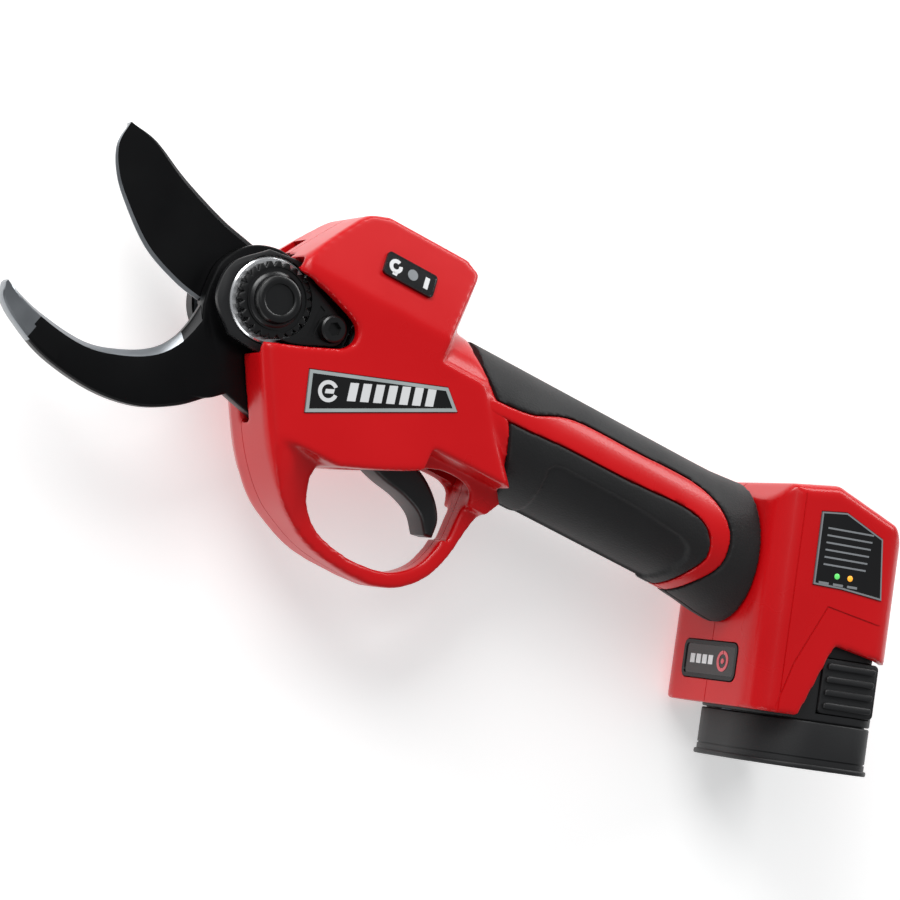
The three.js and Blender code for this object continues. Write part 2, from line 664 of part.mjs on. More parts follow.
function pinion() {
  const [outerR, outerX] = rootPoint(pinionR, sectorR, 1);
  const [innerR, innerX] = rootPoint(pinionR, sectorR, coneShare);
  const shoulder = BEARING_X - 0.4;
  const body = spun([[0, innerX], [innerR, innerX], [outerR, outerX], [PINION_SHAFT_R + 1.2, shoulder],
    [PINION_SHAFT_R - RUN, shoulder], [PINION_SHAFT_R - RUN, CARRIER_X - GAP],
    [0, CARRIER_X - GAP]], 'x', 36);
  const teeth = [];
  for (let i = 0; i < PINION_TEETH; i += 1) {
    const turn = ((i + 0.5) / PINION_TEETH) * 2 * Math.PI;
    const out = new THREE.Vector3(0, Math.sin(turn), -Math.cos(turn));
    teeth.push(bevelTooth(pinionR, sectorR, new THREE.Vector3(1, 0, 0), out));
  }
  return joined(body, ...teeth);
}

function driveSector() {
  const [outerR, outerZ] = rootPoint(sectorR, pinionR, 1);
  const [innerR, innerZ] = rootPoint(sectorR, pinionR, coneShare);
  const hub = rod(11, SECTOR_FOOT, SECTOR_TOP);
  const disc = spun([[0, SECTOR_FOOT], [outerR + 1.4, SECTOR_FOOT], [outerR + 1.4, -outerZ - 0.6],
    [outerR, -outerZ], [innerR, -innerZ], [innerR - 1.6, -innerZ], [innerR - 1.6, SECTOR_FOOT + 4],
    [0, SECTOR_FOOT + 4]], 'z', 72);
  const step = 2 * Math.PI / SECTOR_TEETH;
  const first = -(SECTOR_CUT - 2);
  const low = (first - 0.5) * step;
  const high = (first + SECTOR_CUT - 0.5) * step;
  const wedge = new THREE.Shape();
  wedge.moveTo(0, 0);
  wedge.lineTo(40 * Math.cos(low), 40 * Math.sin(low));
  wedge.absarc(0, 0, 40, low, high);
  const rim = disc.intersect(plate(wedge, -30, 10));
  const teeth = [];
  for (let i = 0; i < SECTOR_CUT; i += 1) {
    const turn = (first + i) * step;
    const out = new THREE.Vector3(Math.cos(turn), Math.sin(turn), 0);
    teeth.push(bevelTooth(sectorR, pinionR, new THREE.Vector3(0, 0, -1), out));
  }
  return cut(joined(hub, rim, ...teeth, ...drivePins(0)), rod(BOLT_R + BUSH_WALL + RUN, -30, 10));
}

// ---- gearbox and motor ----
// A spur outline: straight-sided teeth whose flanks lean like a 20 degree tooth, thinned for play.
function spurOutline(teeth, tipR, rootR, pitchR, thin, phase) {
  const points = [];
  const step = 2 * Math.PI / teeth;
  const half = step / 4 - thin / pitchR;
  const lean = (r) => (pitchR - r) * Math.tan(THREE.MathUtils.degToRad(21)) / pitchR;
  for (let i = 0; i < teeth; i += 1) {
    const middle = phase + i * step;
    const marks = [[-half - lean(rootR), rootR], [-half - lean(tipR), tipR], [half + lean(tipR), tipR],
      [half + lean(rootR), rootR]];
    for (const [turn, r] of marks) points.push([r * Math.cos(middle + turn), r * Math.sin(middle + turn)]);
  }
  return points;
}

// Turned so that its Z, the direction of extrusion, lies along X: an outline's x becomes -z.
function alongX(outline, low, high) {
  return solid(new THREE.ExtrudeGeometry(new THREE.Shape(outline.map(([a, b]) => new THREE.Vector2(a, b))),
    { depth: high - low, bevelEnabled: false }).translate(0, 0, low).rotateY(Math.PI / 2));
}

const sunR = STAGE_MODULE * SUN_TEETH / 2;
const planetR = STAGE_MODULE * PLANET_TEETH / 2;
const orbitR = sunR + planetR;
const ringTeeth = SUN_TEETH + 2 * PLANET_TEETH;
const ringR = STAGE_MODULE * ringTeeth / 2;
const stageX = CARRIER_X + 2.3;
const THIN = 0.06;

function sunGear() {
  const outline = spurOutline(SUN_TEETH, sunR + 0.42, sunR - 0.6, sunR, THIN, 0);
  const body = alongX(outline, stageX, stageX + STAGE_FACE + 1);
  return cut(body, rod(1.15, 0, 100, 'x', SMALL));
}

function planetPlaces() {
  return [0, 1, 2].map((i) => i * 2 * Math.PI / 3);
}

// At rest each planet's gap faces the sun's tooth.
function planet(turn) {
  const phase = turn + Math.PI + Math.PI / PLANET_TEETH;
  const outline = spurOutline(PLANET_TEETH, planetR + 0.42, planetR - 0.6, planetR, THIN, phase);
  const body = alongX(outline, stageX, stageX + STAGE_FACE);
  const bored = cut(body, rod(1.25 + RUN, 0, 100, 'x', SMALL));
  return bored.translate([0, orbitR * Math.sin(turn), -orbitR * Math.cos(turn)]);
}

function ringGear() {
  const outline = spurOutline(ringTeeth, ringR + 0.6, ringR - 0.42, ringR, -THIN, 0);
  const hole = alongX(outline, stageX - 5, stageX + STAGE_FACE + 5);
  return cut(rod(GEARBOX_R, stageX - 0.6, stageX + STAGE_FACE + 0.8, 'x', 32), hole);
}

function gearboxFront() {
  const low = 33.3;
  const high = stageX - 0.9;
  const room = rod(ringR + 0.8, CARRIER_X - 0.8, high + 1, 'x', 30);
  return cut(rod(GEARBOX_R, low, high, 'x', 30), room, rod(PINION_SHAFT_R + 0.4, 0, 60, 'x'));
}

function planetCarrier() {
  const disc = rod(orbitR + 1.9, CARRIER_X, CARRIER_X + 2, 'x', 36);
  const pins = planetPlaces().map((turn) => {
    const pin = rod(1.25, CARRIER_X + 1, stageX + STAGE_FACE + 0.4, 'x', SMALL);
    return pin.translate([0, orbitR * Math.sin(turn), -orbitR * Math.cos(turn)]);
  });
  return joined(disc, ...pins);
}

function motorPlate() {
  const low = stageX + STAGE_FACE + 1.1;
  return cut(rod(GEARBOX_R, low, MOTOR_X - GAP, 'x', 30), rod(4.2, 0, 100, 'x', 20));
}

function motorCan() {
  const can = rod(MOTOR_R, MOTOR_X, MOTOR_X + MOTOR_LENGTH, 'x', 30);
  const room = rod(MOTOR_R - 1.2, MOTOR_X + 1.2, MOTOR_X + MOTOR_LENGTH + 1, 'x', 30);
  return cut(can, room, rod(1.6, 0, 100, 'x', SMALL));
}

function motorEndCap() {
  const low = MOTOR_X + MOTOR_LENGTH + 0.2;
  const body = spun([[0, low], [MOTOR_R, low], [MOTOR_R, low + 3], [9, low + 5], [0, low + 5]], 'x', 30);
  return cut(body, rod(1.3, 0, low + 3, 'x', SMALL));
}

function rotor() {
  const shaft = rod(1.1, stageX, MOTOR_X + MOTOR_LENGTH + 2, 'x', SMALL);
  const stack = rod(10.5, MOTOR_X + 6, MOTOR_X + 26, 'x', 30);
  const slots = [0, 1, 2, 3, 4].map((i) => {
    const turn = (i / 5) * 2 * Math.PI;
    const slot = block(0, 200, -1.4, 1.4, 6, 20);
    return slot.rotate([THREE.MathUtils.radToDeg(turn), 0, 0]);
  });
  const commutator = rod(4, MOTOR_X + 25, MOTOR_X + 35, 'x', SMALL);
  return joined(cut(stack, ...slots), commutator, shaft);
}

function frontBearing() {
  const outer = BEARING_X + BEARING_WIDTH;
  const body = tube(BEARING_R - 0.02, PINION_SHAFT_R + 0.02, BEARING_X, outer, 'x');
  const groove = (low, high) => tube(9, 6, low, high, 'x');
  return cut(body, groove(BEARING_X - 1, BEARING_X + 0.6), groove(outer - 0.6, outer + 1));
}

// ---- trigger ----
const triggerOutline = curved([43, -16.4],
  [[42.2, -20], [44.4, -23.8], [48.6, -26.8], [54, -28.6], [61.4, -30], [67.6, -32.6], [71.8, -37.4]],
  [[74.4, -36.6]],
  [[73.8, -31.6], [70.4, -26.6], [64.6, -22.2], [56, -18.8], [50, -16.6]],
  [[47.4, -14.9]],
  [[44.6, -14.9]]);

function trigger() {
  const body = plate(triggerOutline, -TRIGGER_HALF, TRIGGER_HALF, 1.2, 1);
  return cut(body, rod(TRIGGER_PIN_R + RUN, -10, 10, 'z', SMALL).translate([TRIGGER_X, TRIGGER_Y, 0]));
}

function triggerPin() {
  return rod(TRIGGER_PIN_R, -8.4, 8.4, 'z', SMALL).translate([TRIGGER_X, TRIGGER_Y, 0]);
}

function triggerSpring() {
  const points = [];
  for (let i = 0; i <= 24; i += 1) {
    const turn = (i / 8) * 2 * Math.PI;
    points.push([TRIGGER_X + 2.5 * Math.cos(turn), TRIGGER_Y + 2.5 * Math.sin(turn), 6.2 + 0.06 * i]);
  }
  points.push([TRIGGER_X + 7, TRIGGER_Y + 1.6, 7.7], [TRIGGER_X + 12, TRIGGER_Y + 1.8, 7.7]);
  return wire(points, 0.3, 36, 4);
}

function triggerSensor() {
  return block(52, 62, -15.9, -14.5, -4, 4);
}

// ---- electrics in the handle ----
function controllerBoard() {
  const low = MOTOR_X + MOTOR_LENGTH + 8;
  const board = block(low, 148, -11.5, 11.5, -0.8, 0.8);
  const parts = [block(low + 4, low + 12, -8, -2, 0, 5), block(low + 4, low + 12, 2, 8, 0, 5),
    block(low + 16, low + 26, -5, 5, 0, 2.4), rod(4, 0, 11, 'z', 20).translate([low + 36, 0, 0])];
  return joined(board, ...parts);
}

function terminalBlock() {
  const body = block(-4, 12, 70.6, 74.2, -12, 12);
  const blades = [-7.5, 0, 7.5].map((z) => block(1, 9, 68.9, 71, z - 0.5, z + 0.5));
  return leant(joined(body, ...blades));
}

function powerSwitch() {
  return leant(block(-16, -14.3, 24.5, 30.5, -3, 3));
}

function batteryLead(offset) {
  const rise = [[-15.9, 64.2, offset], [-15.9, 67.6, offset], [-13.2, 70.3, offset * 1.3],
    [-4.6, 71.8, offset * 2]];
  const points = [[148.6, 1, offset], [154, 1.4, offset], [159.6, 2.4, offset], ...rise.map(leanPoint)];
  return wire(points, 1.1, 14, 6);
}

function powerButton() {
  const shape = roundedBox(-BUTTON_HALF, BUTTON_HALF, BUTTON_LOW, BUTTON_HIGH, 2.2);
  const geometry = new THREE.ExtrudeGeometry(shape, { depth: 2.6, bevelEnabled: true, bevelThickness: 0.4,
    bevelSize: 0.4, bevelOffset: -0.4, bevelSegments: 1, curveSegments: 4 });
  return leant(solid(geometry.rotateY(-Math.PI / 2).translate(BASE_FRONT + 2.8, 0, 0)));
}

// ---- plates ----
function namePlate() {
  return plate(nameOutline, HEAD_HALF - 0.4, HEAD_HALF + 0.4, 0.2, 1);
}

function ratingPlate() {
  return leant(plate(ratingOutline, BASE_HALF - 0.4, BASE_HALF + 0.4, 0.2, 1));
}

function cheekBadge() {
  const slope = Math.atan2(HEAD_HALF - CHEEK_TOP_HALF, HEAD_TOP + 1 - CHEEK_Y);
  const shape = roundedBox(-8.2, 8.2, -3.5, 3.5, 1);
  const geometry = new THREE.ExtrudeGeometry(shape, { depth: 0.8, bevelEnabled: false, curveSegments: 3 });
  const middle = 23.4;
  const height = HEAD_HALF - (middle - CHEEK_Y) * Math.tan(slope);
  geometry.translate(0, 0, GAP).rotateX(-slope).translate(32.3, middle, height);
  return solid(geometry);
}

function shellScrew([x, y], index) {
  const seat = bossFoot(index);
  const body = spun([[0, seat - 2.2], [SCREW_HEAD_R - 0.5, seat - 2.2], [SCREW_HEAD_R, seat - 1.6],
    [SCREW_HEAD_R, seat - GAP], [SCREW_R, seat - GAP], [SCREW_R, 8], [0, 8]], 'z', SMALL);
  return cut(body, rod(1.3, seat - 4, seat - 1.2, 'z', 6)).translate([x, y, 0]);
}

// ---- battery ----
function packShape(extra) {
  return roundedBox(PACK_FRONT - extra, PACK_REAR + extra, -PACK_HALF - extra, PACK_HALF + extra,
    PACK_ROUND + extra, PACK_FRONT_ROUND + extra);
}

function cellPlaces() {
  const row = 8.15;
  return [[CELL_MIDDLE + row, 9.3], [CELL_MIDDLE + row, -9.3], [CELL_MIDDLE - row, 0]];
}

function upright(u, z, radius, low, high, sides = ROUND) {
  return solid(new THREE.CylinderGeometry(radius, radius, high - low, sides).translate(u,
    (low + high) / 2, z));
}

function cell([u, z]) {
  const low = CELL_FOOT;
  const high = CELL_FOOT + CELL_LENGTH;
  return leant(joined(upright(u, z, CELL_R, low, high - 1, 24), upright(u, z, 3, high - 2, high, 12)));
}

function cellRoom() {
  const low = CELL_FOOT - GAP;
  const high = CELL_FOOT + CELL_LENGTH + GAP;
  const cells = cellPlaces().map(([u, z]) => upright(u, z, CELL_R + GAP, low, high, 16));
  return joined(...cells, block(CELL_MIDDLE - 10, CELL_MIDDLE + 10, low, high, -10, 10));
}

function packBase() {
  const lip = 0.7;
  const foot = raised(packShape(lip), 0, 1.5);
  const walls = raised(packShape(0), 0, PACK_SPLIT - SPLIT);
  return leant(cut(joined(foot, walls), cellRoom()));
}

const TOWER_REAR = 23.1;
const TOWER_HALF = 24.6;
const TOWER_TOP = 68.2;
const LATCH = { u0: 3, u1: 22, v0: 16.6, v1: 32.6 };

function packTower() {
  const shoulders = raised(packShape(0), PACK_SPLIT + SPLIT, 31.4);
  const neck = raised(roundedBox(PACK_FRONT, TOWER_REAR, -TOWER_HALF, TOWER_HALF, 7, PACK_FRONT_ROUND),
    31, 38);
  const tower = raised(roundedBox(PACK_FRONT, TOWER_REAR, -20, 20, 5), 37, TOWER_TOP);
  let body = joined(shoulders, neck, tower);
  const chamfer = plate([[TOWER_REAR - 2.4, TOWER_TOP + 1], [TOWER_REAR + 1, TOWER_TOP - 3.6],
    [TOWER_REAR + 1, TOWER_TOP + 1]], -40, 40);
  body = cut(body, cellRoom(), protectionRoom(), chamfer, ...[-1, 1].map(latchPocket));
  const contacts = [-7.5, 0, 7.5].map((z) => block(0, 10, TOWER_TOP - 3, TOWER_TOP + 2, z - 1, z + 1));
  return leant(cut(body, ...contacts));
}

function sided(low, high, side) {
  return side > 0 ? [low, high] : [-high, -low];
}

function latchPocket(side) {
  return block(LATCH.u0 - GAP, LATCH.u1 + GAP, LATCH.v0 - GAP, LATCH.v1 + GAP, ...sided(LATCH_FLOOR, 40,
    side));
}

function packLatch(side) {
  const pad = block(LATCH.u0, LATCH.u1, LATCH.v0, LATCH.v1, ...sided(LATCH_IN, LATCH_OUT - 0.8, side));
  const ribs = [0, 1, 2, 3].map((i) => {
    const v = LATCH.v0 + 2.4 + i * 3.8;
    return block(LATCH.u0 + 1.2, LATCH.u1 - 1.2, v - 0.9, v + 0.9, ...sided(LATCH_OUT - 1.5, LATCH_OUT,
      side));
  });
  return leant(joined(pad, ...ribs));
}

function latchSpring(side) {
  const middle = [(LATCH.u0 + LATCH.u1) / 2, (LATCH.v0 + LATCH.v1) / 2];
  const body = coil(...middle, LATCH_FLOOR + 0.5, LATCH_IN - 0.5, 3, 3, 0.3);
  return leant(side > 0 ? body : body.scale([1, 1, -1]));
}

function protectionRoom() {
  return block(-11.4, -8.6, 43, 66.4, 3, 18.6);
}

function protectionBoard() {
  return leant(block(-10.8, -9.4, 44, 65.6, 8.6, 18.2));
}

// ---- assembly ----
const tool = new THREE.Group();

function add(name, body, material) {
  const mesh = new THREE.Mesh(geometryOf(body), material);
  mesh.name = name;
  tool.add(mesh);
}

add('left_shell', shellSolid(1), RED);
add('right_shell', shellSolid(-1), RED);
for (const [name, side] of [['left', 1], ['right', -1]]) {
  const [back, pad] = gripPieces(side);
  add(`${name}_grip_back`, back, RUBBER_BLACK);
  add(`${name}_grip_pad`, pad, RUBBER_BLACK);
}
add('fixed_blade', fixedBlade(), BLACK_STEEL);
BLADE_SCREWS.forEach((place, i) => add(`blade_screw_${i + 1}`, bladeScrew(place), ZINC));
add('moving_blade', movingBlade(), BLACK_STEEL);
add('drive_sector', driveSector(), STEEL);
add('pivot_bush', tube(BOLT_R + BUSH_WALL, BOLT_R + RUN, SECTOR_FOOT, BLADE_TOP), BRONZE);
add('pivot_bolt', pivotBolt(), STEEL);
add('spacer_ring', spacerRing(), CHROME);
add('star_nut', starNut(), BLACK_STEEL);
add('lock_plate', lockPlate(), BLACK_STEEL);
add('lock_screw', lockScrew(), BLACK_STEEL);
add('gear_cover', gearCover(), BLACK_PLASTIC);
add('gear_frame', gearFrame(), ALUMINIUM);
add('pinion', pinion(), STEEL);
add('front_bearing', frontBearing(), STEEL);
add('gearbox_front', gearboxFront(), ZINC);
add('ring_gear', ringGear(), STEEL);
add('planet_carrier', planetCarrier(), STEEL);
planetPlaces().forEach((turn, i) => add(`planet_${i + 1}`, planet(turn), STEEL));
add('sun_gear', sunGear(), BRONZE);
add('motor_plate', motorPlate(), ZINC);
add('motor_can', motorCan(), ZINC);
add('motor_end_cap', motorEndCap(), BLACK_PLASTIC);
add('rotor', rotor(), COPPER);
add('trigger', trigger(), BLACK_PLASTIC);
add('trigger_pin', triggerPin(), STEEL);
add('trigger_spring', triggerSpring(), STEEL);
add('trigger_sensor', triggerSensor(), BOARD_GREEN);
add('controller_board', controllerBoard(), BOARD_GREEN);
add('battery_lead_plus', batteryLead(3), WIRE_RED);
add('battery_lead_minus', batteryLead(-3), WIRE_BLACK);
add('terminal_block', terminalBlock(), GLOSS_BLACK);
add('power_switch', powerSwitch(), GLOSS_BLACK);
add('power_button', powerButton(), GLOSS_BLACK);
add('name_plate', namePlate(), GLOSS_BLACK);
add('cheek_badge', cheekBadge(), GLOSS_BLACK);
add('rating_plate', ratingPlate(), GLOSS_BLACK);
bossPlaces().forEach((place, i) => add(`shell_screw_${i + 1}`, shellScrew(place, i), ZINC));
add('battery_base', packBase(), BLACK_PLASTIC);
add('battery_tower', packTower(), BLACK_PLASTIC);
cellPlaces().forEach((place, i) => add(`cell_${i + 1}`, cell(place), CELL_WRAP));
add('protection_board', protectionBoard(), BOARD_GREEN);
for (const [name, side] of [['left', 1], ['right', -1]]) {
  add(`${name}_latch`, packLatch(side), BLACK_PLASTIC);
  add(`${name}_latch_spring`, latchSpring(side), STEEL);
}

const box = new THREE.Box3().setFromObject(tool);
tool.position.set(-(box.min.x + box.max.x) / 2, -(box.min.y + box.max.y) / 2, -box.min.z);
const pruner = new THREE.Group();
pruner.add(tool);

export default pruner;
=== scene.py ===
import math
import json

import bmesh
import bpy
from mathutils import Matrix, Vector


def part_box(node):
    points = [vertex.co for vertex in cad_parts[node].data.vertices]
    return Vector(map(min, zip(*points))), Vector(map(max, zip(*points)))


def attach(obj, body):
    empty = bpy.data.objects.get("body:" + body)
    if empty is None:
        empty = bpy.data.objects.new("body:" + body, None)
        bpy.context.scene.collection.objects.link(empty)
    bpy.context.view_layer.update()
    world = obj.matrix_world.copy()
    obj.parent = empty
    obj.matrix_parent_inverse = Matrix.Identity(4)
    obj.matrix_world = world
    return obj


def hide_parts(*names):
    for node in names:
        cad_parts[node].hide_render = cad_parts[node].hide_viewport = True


bl_info = {
    "name": "Battery Pruner",
    "version": (1, 0, 0),
    "blender": (4, 5, 0),
    "location": "View3D > Sidebar > Pruner",
    "description": "Models the housing, blades, grip and battery of a hand-held electric pruner",
    "category": "Object",
}

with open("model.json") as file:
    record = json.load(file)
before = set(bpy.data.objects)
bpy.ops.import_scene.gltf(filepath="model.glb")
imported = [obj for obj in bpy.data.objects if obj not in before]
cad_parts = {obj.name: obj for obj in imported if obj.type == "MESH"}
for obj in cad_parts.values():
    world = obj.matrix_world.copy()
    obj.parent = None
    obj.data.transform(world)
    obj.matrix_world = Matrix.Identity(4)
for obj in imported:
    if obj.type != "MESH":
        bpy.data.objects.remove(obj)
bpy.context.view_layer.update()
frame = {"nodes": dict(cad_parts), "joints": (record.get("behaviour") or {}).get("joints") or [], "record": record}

# Pieces are drawn in millimetres about the blade pivot and moved to the frame at the end.
MM = 0.001
SPLIT = 0.15  # half the parting gap between the two housing halves
RING_LOW, RING_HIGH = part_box("spacer_ring")
PIVOT = Vector(((RING_LOW.x + RING_HIGH.x) / 2, (RING_LOW.y + RING_HIGH.y) / 2,
                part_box("left_shell")[0].z - SPLIT * MM))
SLIDE = next(j for j in frame["joints"] if j["name"] == "battery_slide")["axis"]
TILT = math.atan2(SLIDE[0], -SLIDE[1])  # the battery leans back by this much
BASE = Vector((200.4, -51.8, 0))  # the battery's foot, from the pivot
LEAN = Matrix.Translation(BASE) @ Matrix.Rotation(TILT, 4, "Z")
TO_FRAME = Matrix.Translation(PIVOT) @ Matrix.Scale(MM, 4)

HEAD_HALF = 19
GRIP_R = 18.5
RUBBER = 2.2
COLLAR_R = 20.2
BASE_HALF = 28
BLADE_TOP = -0.1
BLADE_THICK = 3.5
HOOK_FOOT = 0.1
HOOK_THICK = 4.5
RING_TOP = 11.5
COVER_FOOT = 9.5
COVER_TOP = 11.6
NUT_R = 10.6


# ---- lines and outlines ----
def through(points, steps):
    """Points along one smooth line through the given ones."""
    knots = [Vector(p) for p in points]
    knots = [2 * knots[0] - knots[1]] + knots + [2 * knots[-1] - knots[-2]]
    line = []
    for a, b, c, d in zip(knots, knots[1:], knots[2:], knots[3:]):
        for i in range(steps):
            t = i / steps
            bend = (2 * a - 5 * b + 4 * c - d) * t * t + (3 * b - a - 3 * c + d) * t ** 3
            line.append(0.5 * (2 * b + (c - a) * t + bend))
    return line + [knots[-2]]


def outline(*stretches, steps=7):
    """A closed outline. A stretch of one point is a corner, and a longer one is a smooth line."""
    points = [Vector(stretches[0][0])]
    for stretch in stretches[1:]:
        if len(stretch) == 1:
            points.append(Vector(stretch[0]))
        else:
            points += through([points[-1], *stretch], steps)[1:]
    if (points[0] - points[-1]).length < 0.05:
        points.pop()
    return points


def evenly(points, count):
    """The same line with its points spread evenly."""
    line = [Vector(p) for p in points]
    marks = [0.0]
    for a, b in zip(line, line[1:]):
        marks.append(marks[-1] + (b - a).length)
    spread = []
    for i in range(count + 1):
        want = marks[-1] * i / count
        k = max(j for j in range(len(marks) - 1) if marks[j] <= want + 1e-9)
        share = (want - marks[k]) / max(marks[k + 1] - marks[k], 1e-9)
        spread.append(line[k].lerp(line[k + 1], share))
    return spread


def rounded_box(x0, x1, y0, y1, radius, steps=8, front=None):
    """front is the radius of the two corners at x0, where that differs."""
    front = front or radius
    corners = ((x1 - radius, y0 + radius, -90, radius), (x1 - radius, y1 - radius, 0, radius),
               (x0 + front, y1 - front, 90, front), (x0 + front, y0 + front, 180, front))
    points = []
    for x, y, start, r in corners:
        for i in range(steps + 1):
            turn = math.radians(start + 90 * i / steps)
            points.append(Vector((x + r * math.cos(turn), y + r * math.sin(turn))))
    return points


def grown(points, distance):
    """The outline moved outwards, corner by corner."""
    area = sum(a.x * b.y - b.x * a.y for a, b in zip(points, points[1:] + points[:1]))
    out = 1 if area > 0 else -1
    moved = []
    for a, b, c in zip(points[-1:] + points, points, points[1:] + points[:1]):
        before = (b - a).normalized()
        after = (c - b).normalized()
        side = Vector((before.y + after.y, -before.x - after.x)).normalized()
        lean = max(0.4, side.dot(Vector((after.y, -after.x))))
        moved.append(b + side * out * distance / lean)
    return moved


# ---- solids, in millimetres about the pivot ----
def new_object(bm, name):
    mesh = bpy.data.meshes.new(name)
    bm.to_mesh(mesh)
    bm.free()
    piece = bpy.data.objects.new(name, mesh)
    bpy.context.scene.collection.objects.link(piece)
    return piece


def solid(bm, turn=None):
    bmesh.ops.recalc_face_normals(bm, faces=bm.faces)
    if turn:
        bmesh.ops.transform(bm, matrix=turn, verts=bm.verts)
    return new_object(bm, "solid")


def raise_outline(bm, points, low, thick):
    face = bm.faces.new([bm.verts.new((p[0], p[1], low)) for p in points])
    raised = bmesh.ops.extrude_face_region(bm, geom=[face])
    tops = [v for v in raised["geom"] if isinstance(v, bmesh.types.BMVert)]
    bmesh.ops.translate(bm, verts=tops, vec=(0, 0, thick))


def prism(points, low, high, edge=0, segments=3, turn=None):
    """An outline raised from low to high, with rounded rims."""
    bm = bmesh.new()
    raise_outline(bm, points, low, high - low)
    if edge:
        rims = [e for e in bm.edges if abs(e.verts[0].co.z - e.verts[1].co.z) < 1e-6]
        bmesh.ops.bevel(bm, geom=rims, offset=edge, segments=segments, profile=0.5, affect="EDGES",
                        material=-1)
    return solid(bm, turn)


def lathe(profile, segments=96, turn=None):
    """A profile of (radius, height) turned about Z, closed on the axis or on itself."""
    bm = bmesh.new()
    points = [bm.verts.new((max(r, 0), 0, z)) for r, z in profile]
    edges = [bm.edges.new(pair) for pair in zip(points, points[1:])]
    if (points[0].co - points[-1].co).length > 1e-6 and profile[0][0] > 0:
        edges.append(bm.edges.new((points[-1], points[0])))
    bmesh.ops.spin(bm, geom=points + edges, cent=(0, 0, 0), axis=(0, 0, 1), angle=2 * math.pi,
                   steps=segments, use_merge=True)
    bmesh.ops.remove_doubles(bm, verts=bm.verts, dist=1e-4)
    return solid(bm, turn)


def box_solid(x0, x1, y0, y1, z0, z1):
    bm = bmesh.new()
    size = Matrix.Diagonal((x1 - x0, y1 - y0, z1 - z0, 1))
    middle = Matrix.Translation(((x0 + x1) / 2, (y0 + y1) / 2, (z0 + z1) / 2))
    bmesh.ops.create_cube(bm, size=1, matrix=middle @ size)
    return new_object(bm, "solid")


def rod(radius, low, high, at=(0, 0), segments=48):
    """A round bar along Z."""
    bm = bmesh.new()
    middle = Matrix.Translation((at[0], at[1], (low + high) / 2))
    bmesh.ops.create_cone(bm, cap_ends=True, segments=segments, radius1=radius, radius2=radius,
                          depth=high - low, matrix=middle)
    return new_object(bm, "solid")


ALONG_X = Matrix.Rotation(math.pi / 2, 4, "Y")  # heights run along +X
ALONG_Y = Matrix.Rotation(-math.pi / 2, 4, "X")  # heights run along +Y, and y becomes -z


def bar(radius, low, high, segments=96):
    """A round bar along X."""
    return lathe([(0, low), (radius, low), (radius, high), (0, high)], segments, ALONG_X)


def moved(piece, matrix):
    piece.data.transform(matrix)
    return piece


def bake(piece):
    """The piece's modifiers are worked into its mesh."""
    graph = bpy.context.evaluated_depsgraph_get()
    mesh = bpy.data.meshes.new_from_object(piece.evaluated_get(graph))
    piece.modifiers.clear()
    old = piece.data
    piece.data = mesh
    bpy.data.meshes.remove(old)
    return piece


def combine(piece, operation, *others):
    for other in others:
        step = piece.modifiers.new("join", "BOOLEAN")
        step.operation = operation
        step.solver = "MANIFOLD"
        step.object = other
        bake(piece)
        bpy.data.objects.remove(other)
    return piece


def join(piece, *others):
    return combine(piece, "UNION", *others)


def cut(piece, *others):
    return combine(piece, "DIFFERENCE", *others)


def common(piece, *others):
    return combine(piece, "INTERSECT", *others)


def half_of(piece, side):
    """A copy of the part of a solid that lies on one side of the parting gap."""
    twin = piece.copy()
    twin.data = piece.data.copy()
    bpy.context.scene.collection.objects.link(twin)
    low, high = sorted((side * SPLIT, side * 90))
    return common(twin, box_solid(-400, 400, -400, 400, low, high))


def softened(piece, voxel, rounds):
    """Melts the joined solids into one skin whose edges are rounded."""
    skin = piece.modifiers.new("skin", "REMESH")
    skin.mode = "VOXEL"
    skin.voxel_size = voxel
    soft = piece.modifiers.new("soft", "SMOOTH")
    soft.factor = 0.5
    soft.iterations = rounds
    return bake(piece)


def settle(piece, name, body, slot, replaces=(), crease=32, looks=None):
    """Moves a finished piece from millimetres to the frame, and hangs it on its body. Its looks are
    the names of its finishes, where they aren't its slot's alone."""
    looks = looks or [slot]
    piece.name = name
    piece.data.name = name
    piece.data.transform(TO_FRAME)
    marks = [face.material_index for face in piece.data.polygons]
    piece.data.materials.clear()
    for look in looks:
        piece.data.materials.append(FINISHES[look])
    if len(looks) > 1:
        piece.data.polygons.foreach_set("material_index", marks)
    piece.data.shade_smooth()
    piece.data.set_sharp_from_angle(angle=math.radians(crease))
    if replaces:
        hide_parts(*replaces)
    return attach(piece, body)


# ---- finishes ----
def linear(code):
    """An sRGB hex colour as the linear colour that a shader takes."""
    channels = [int(code[i:i + 2], 16) / 255 for i in (1, 3, 5)]
    return [c / 12.92 if c <= 0.04045 else ((c + 0.055) / 1.055) ** 2.4 for c in channels] + [1]


def add(tree, kind, settings=None, inputs=None, links=None):
    """Adds one node with its settings, its unlinked values and its incoming links."""
    node = tree.nodes.new(kind)
    for key, value in (settings or {}).items():
        setattr(node, key, value)
    for key, value in (inputs or {}).items():
        node.inputs[key].default_value = value
    for key, source in (links or {}).items():
        tree.links.new(source, node.inputs[key])
    return node


def surface(name, shader_values):
    material = bpy.data.materials.new(name)
    material.use_nodes = True
    tree = material.node_tree
    shader = tree.nodes["Principled BSDF"]
    for key, value in shader_values.items():
        shader.inputs[key].default_value = value
    place = add(tree, "ShaderNodeTexCoord").outputs["Object"]
    return material, tree, shader, place


def noise(tree, place, scale, detail=2):
    return add(tree, "ShaderNodeTexNoise", inputs={"Scale": scale, "Detail": detail},
               links={"Vector": place}).outputs["Fac"]


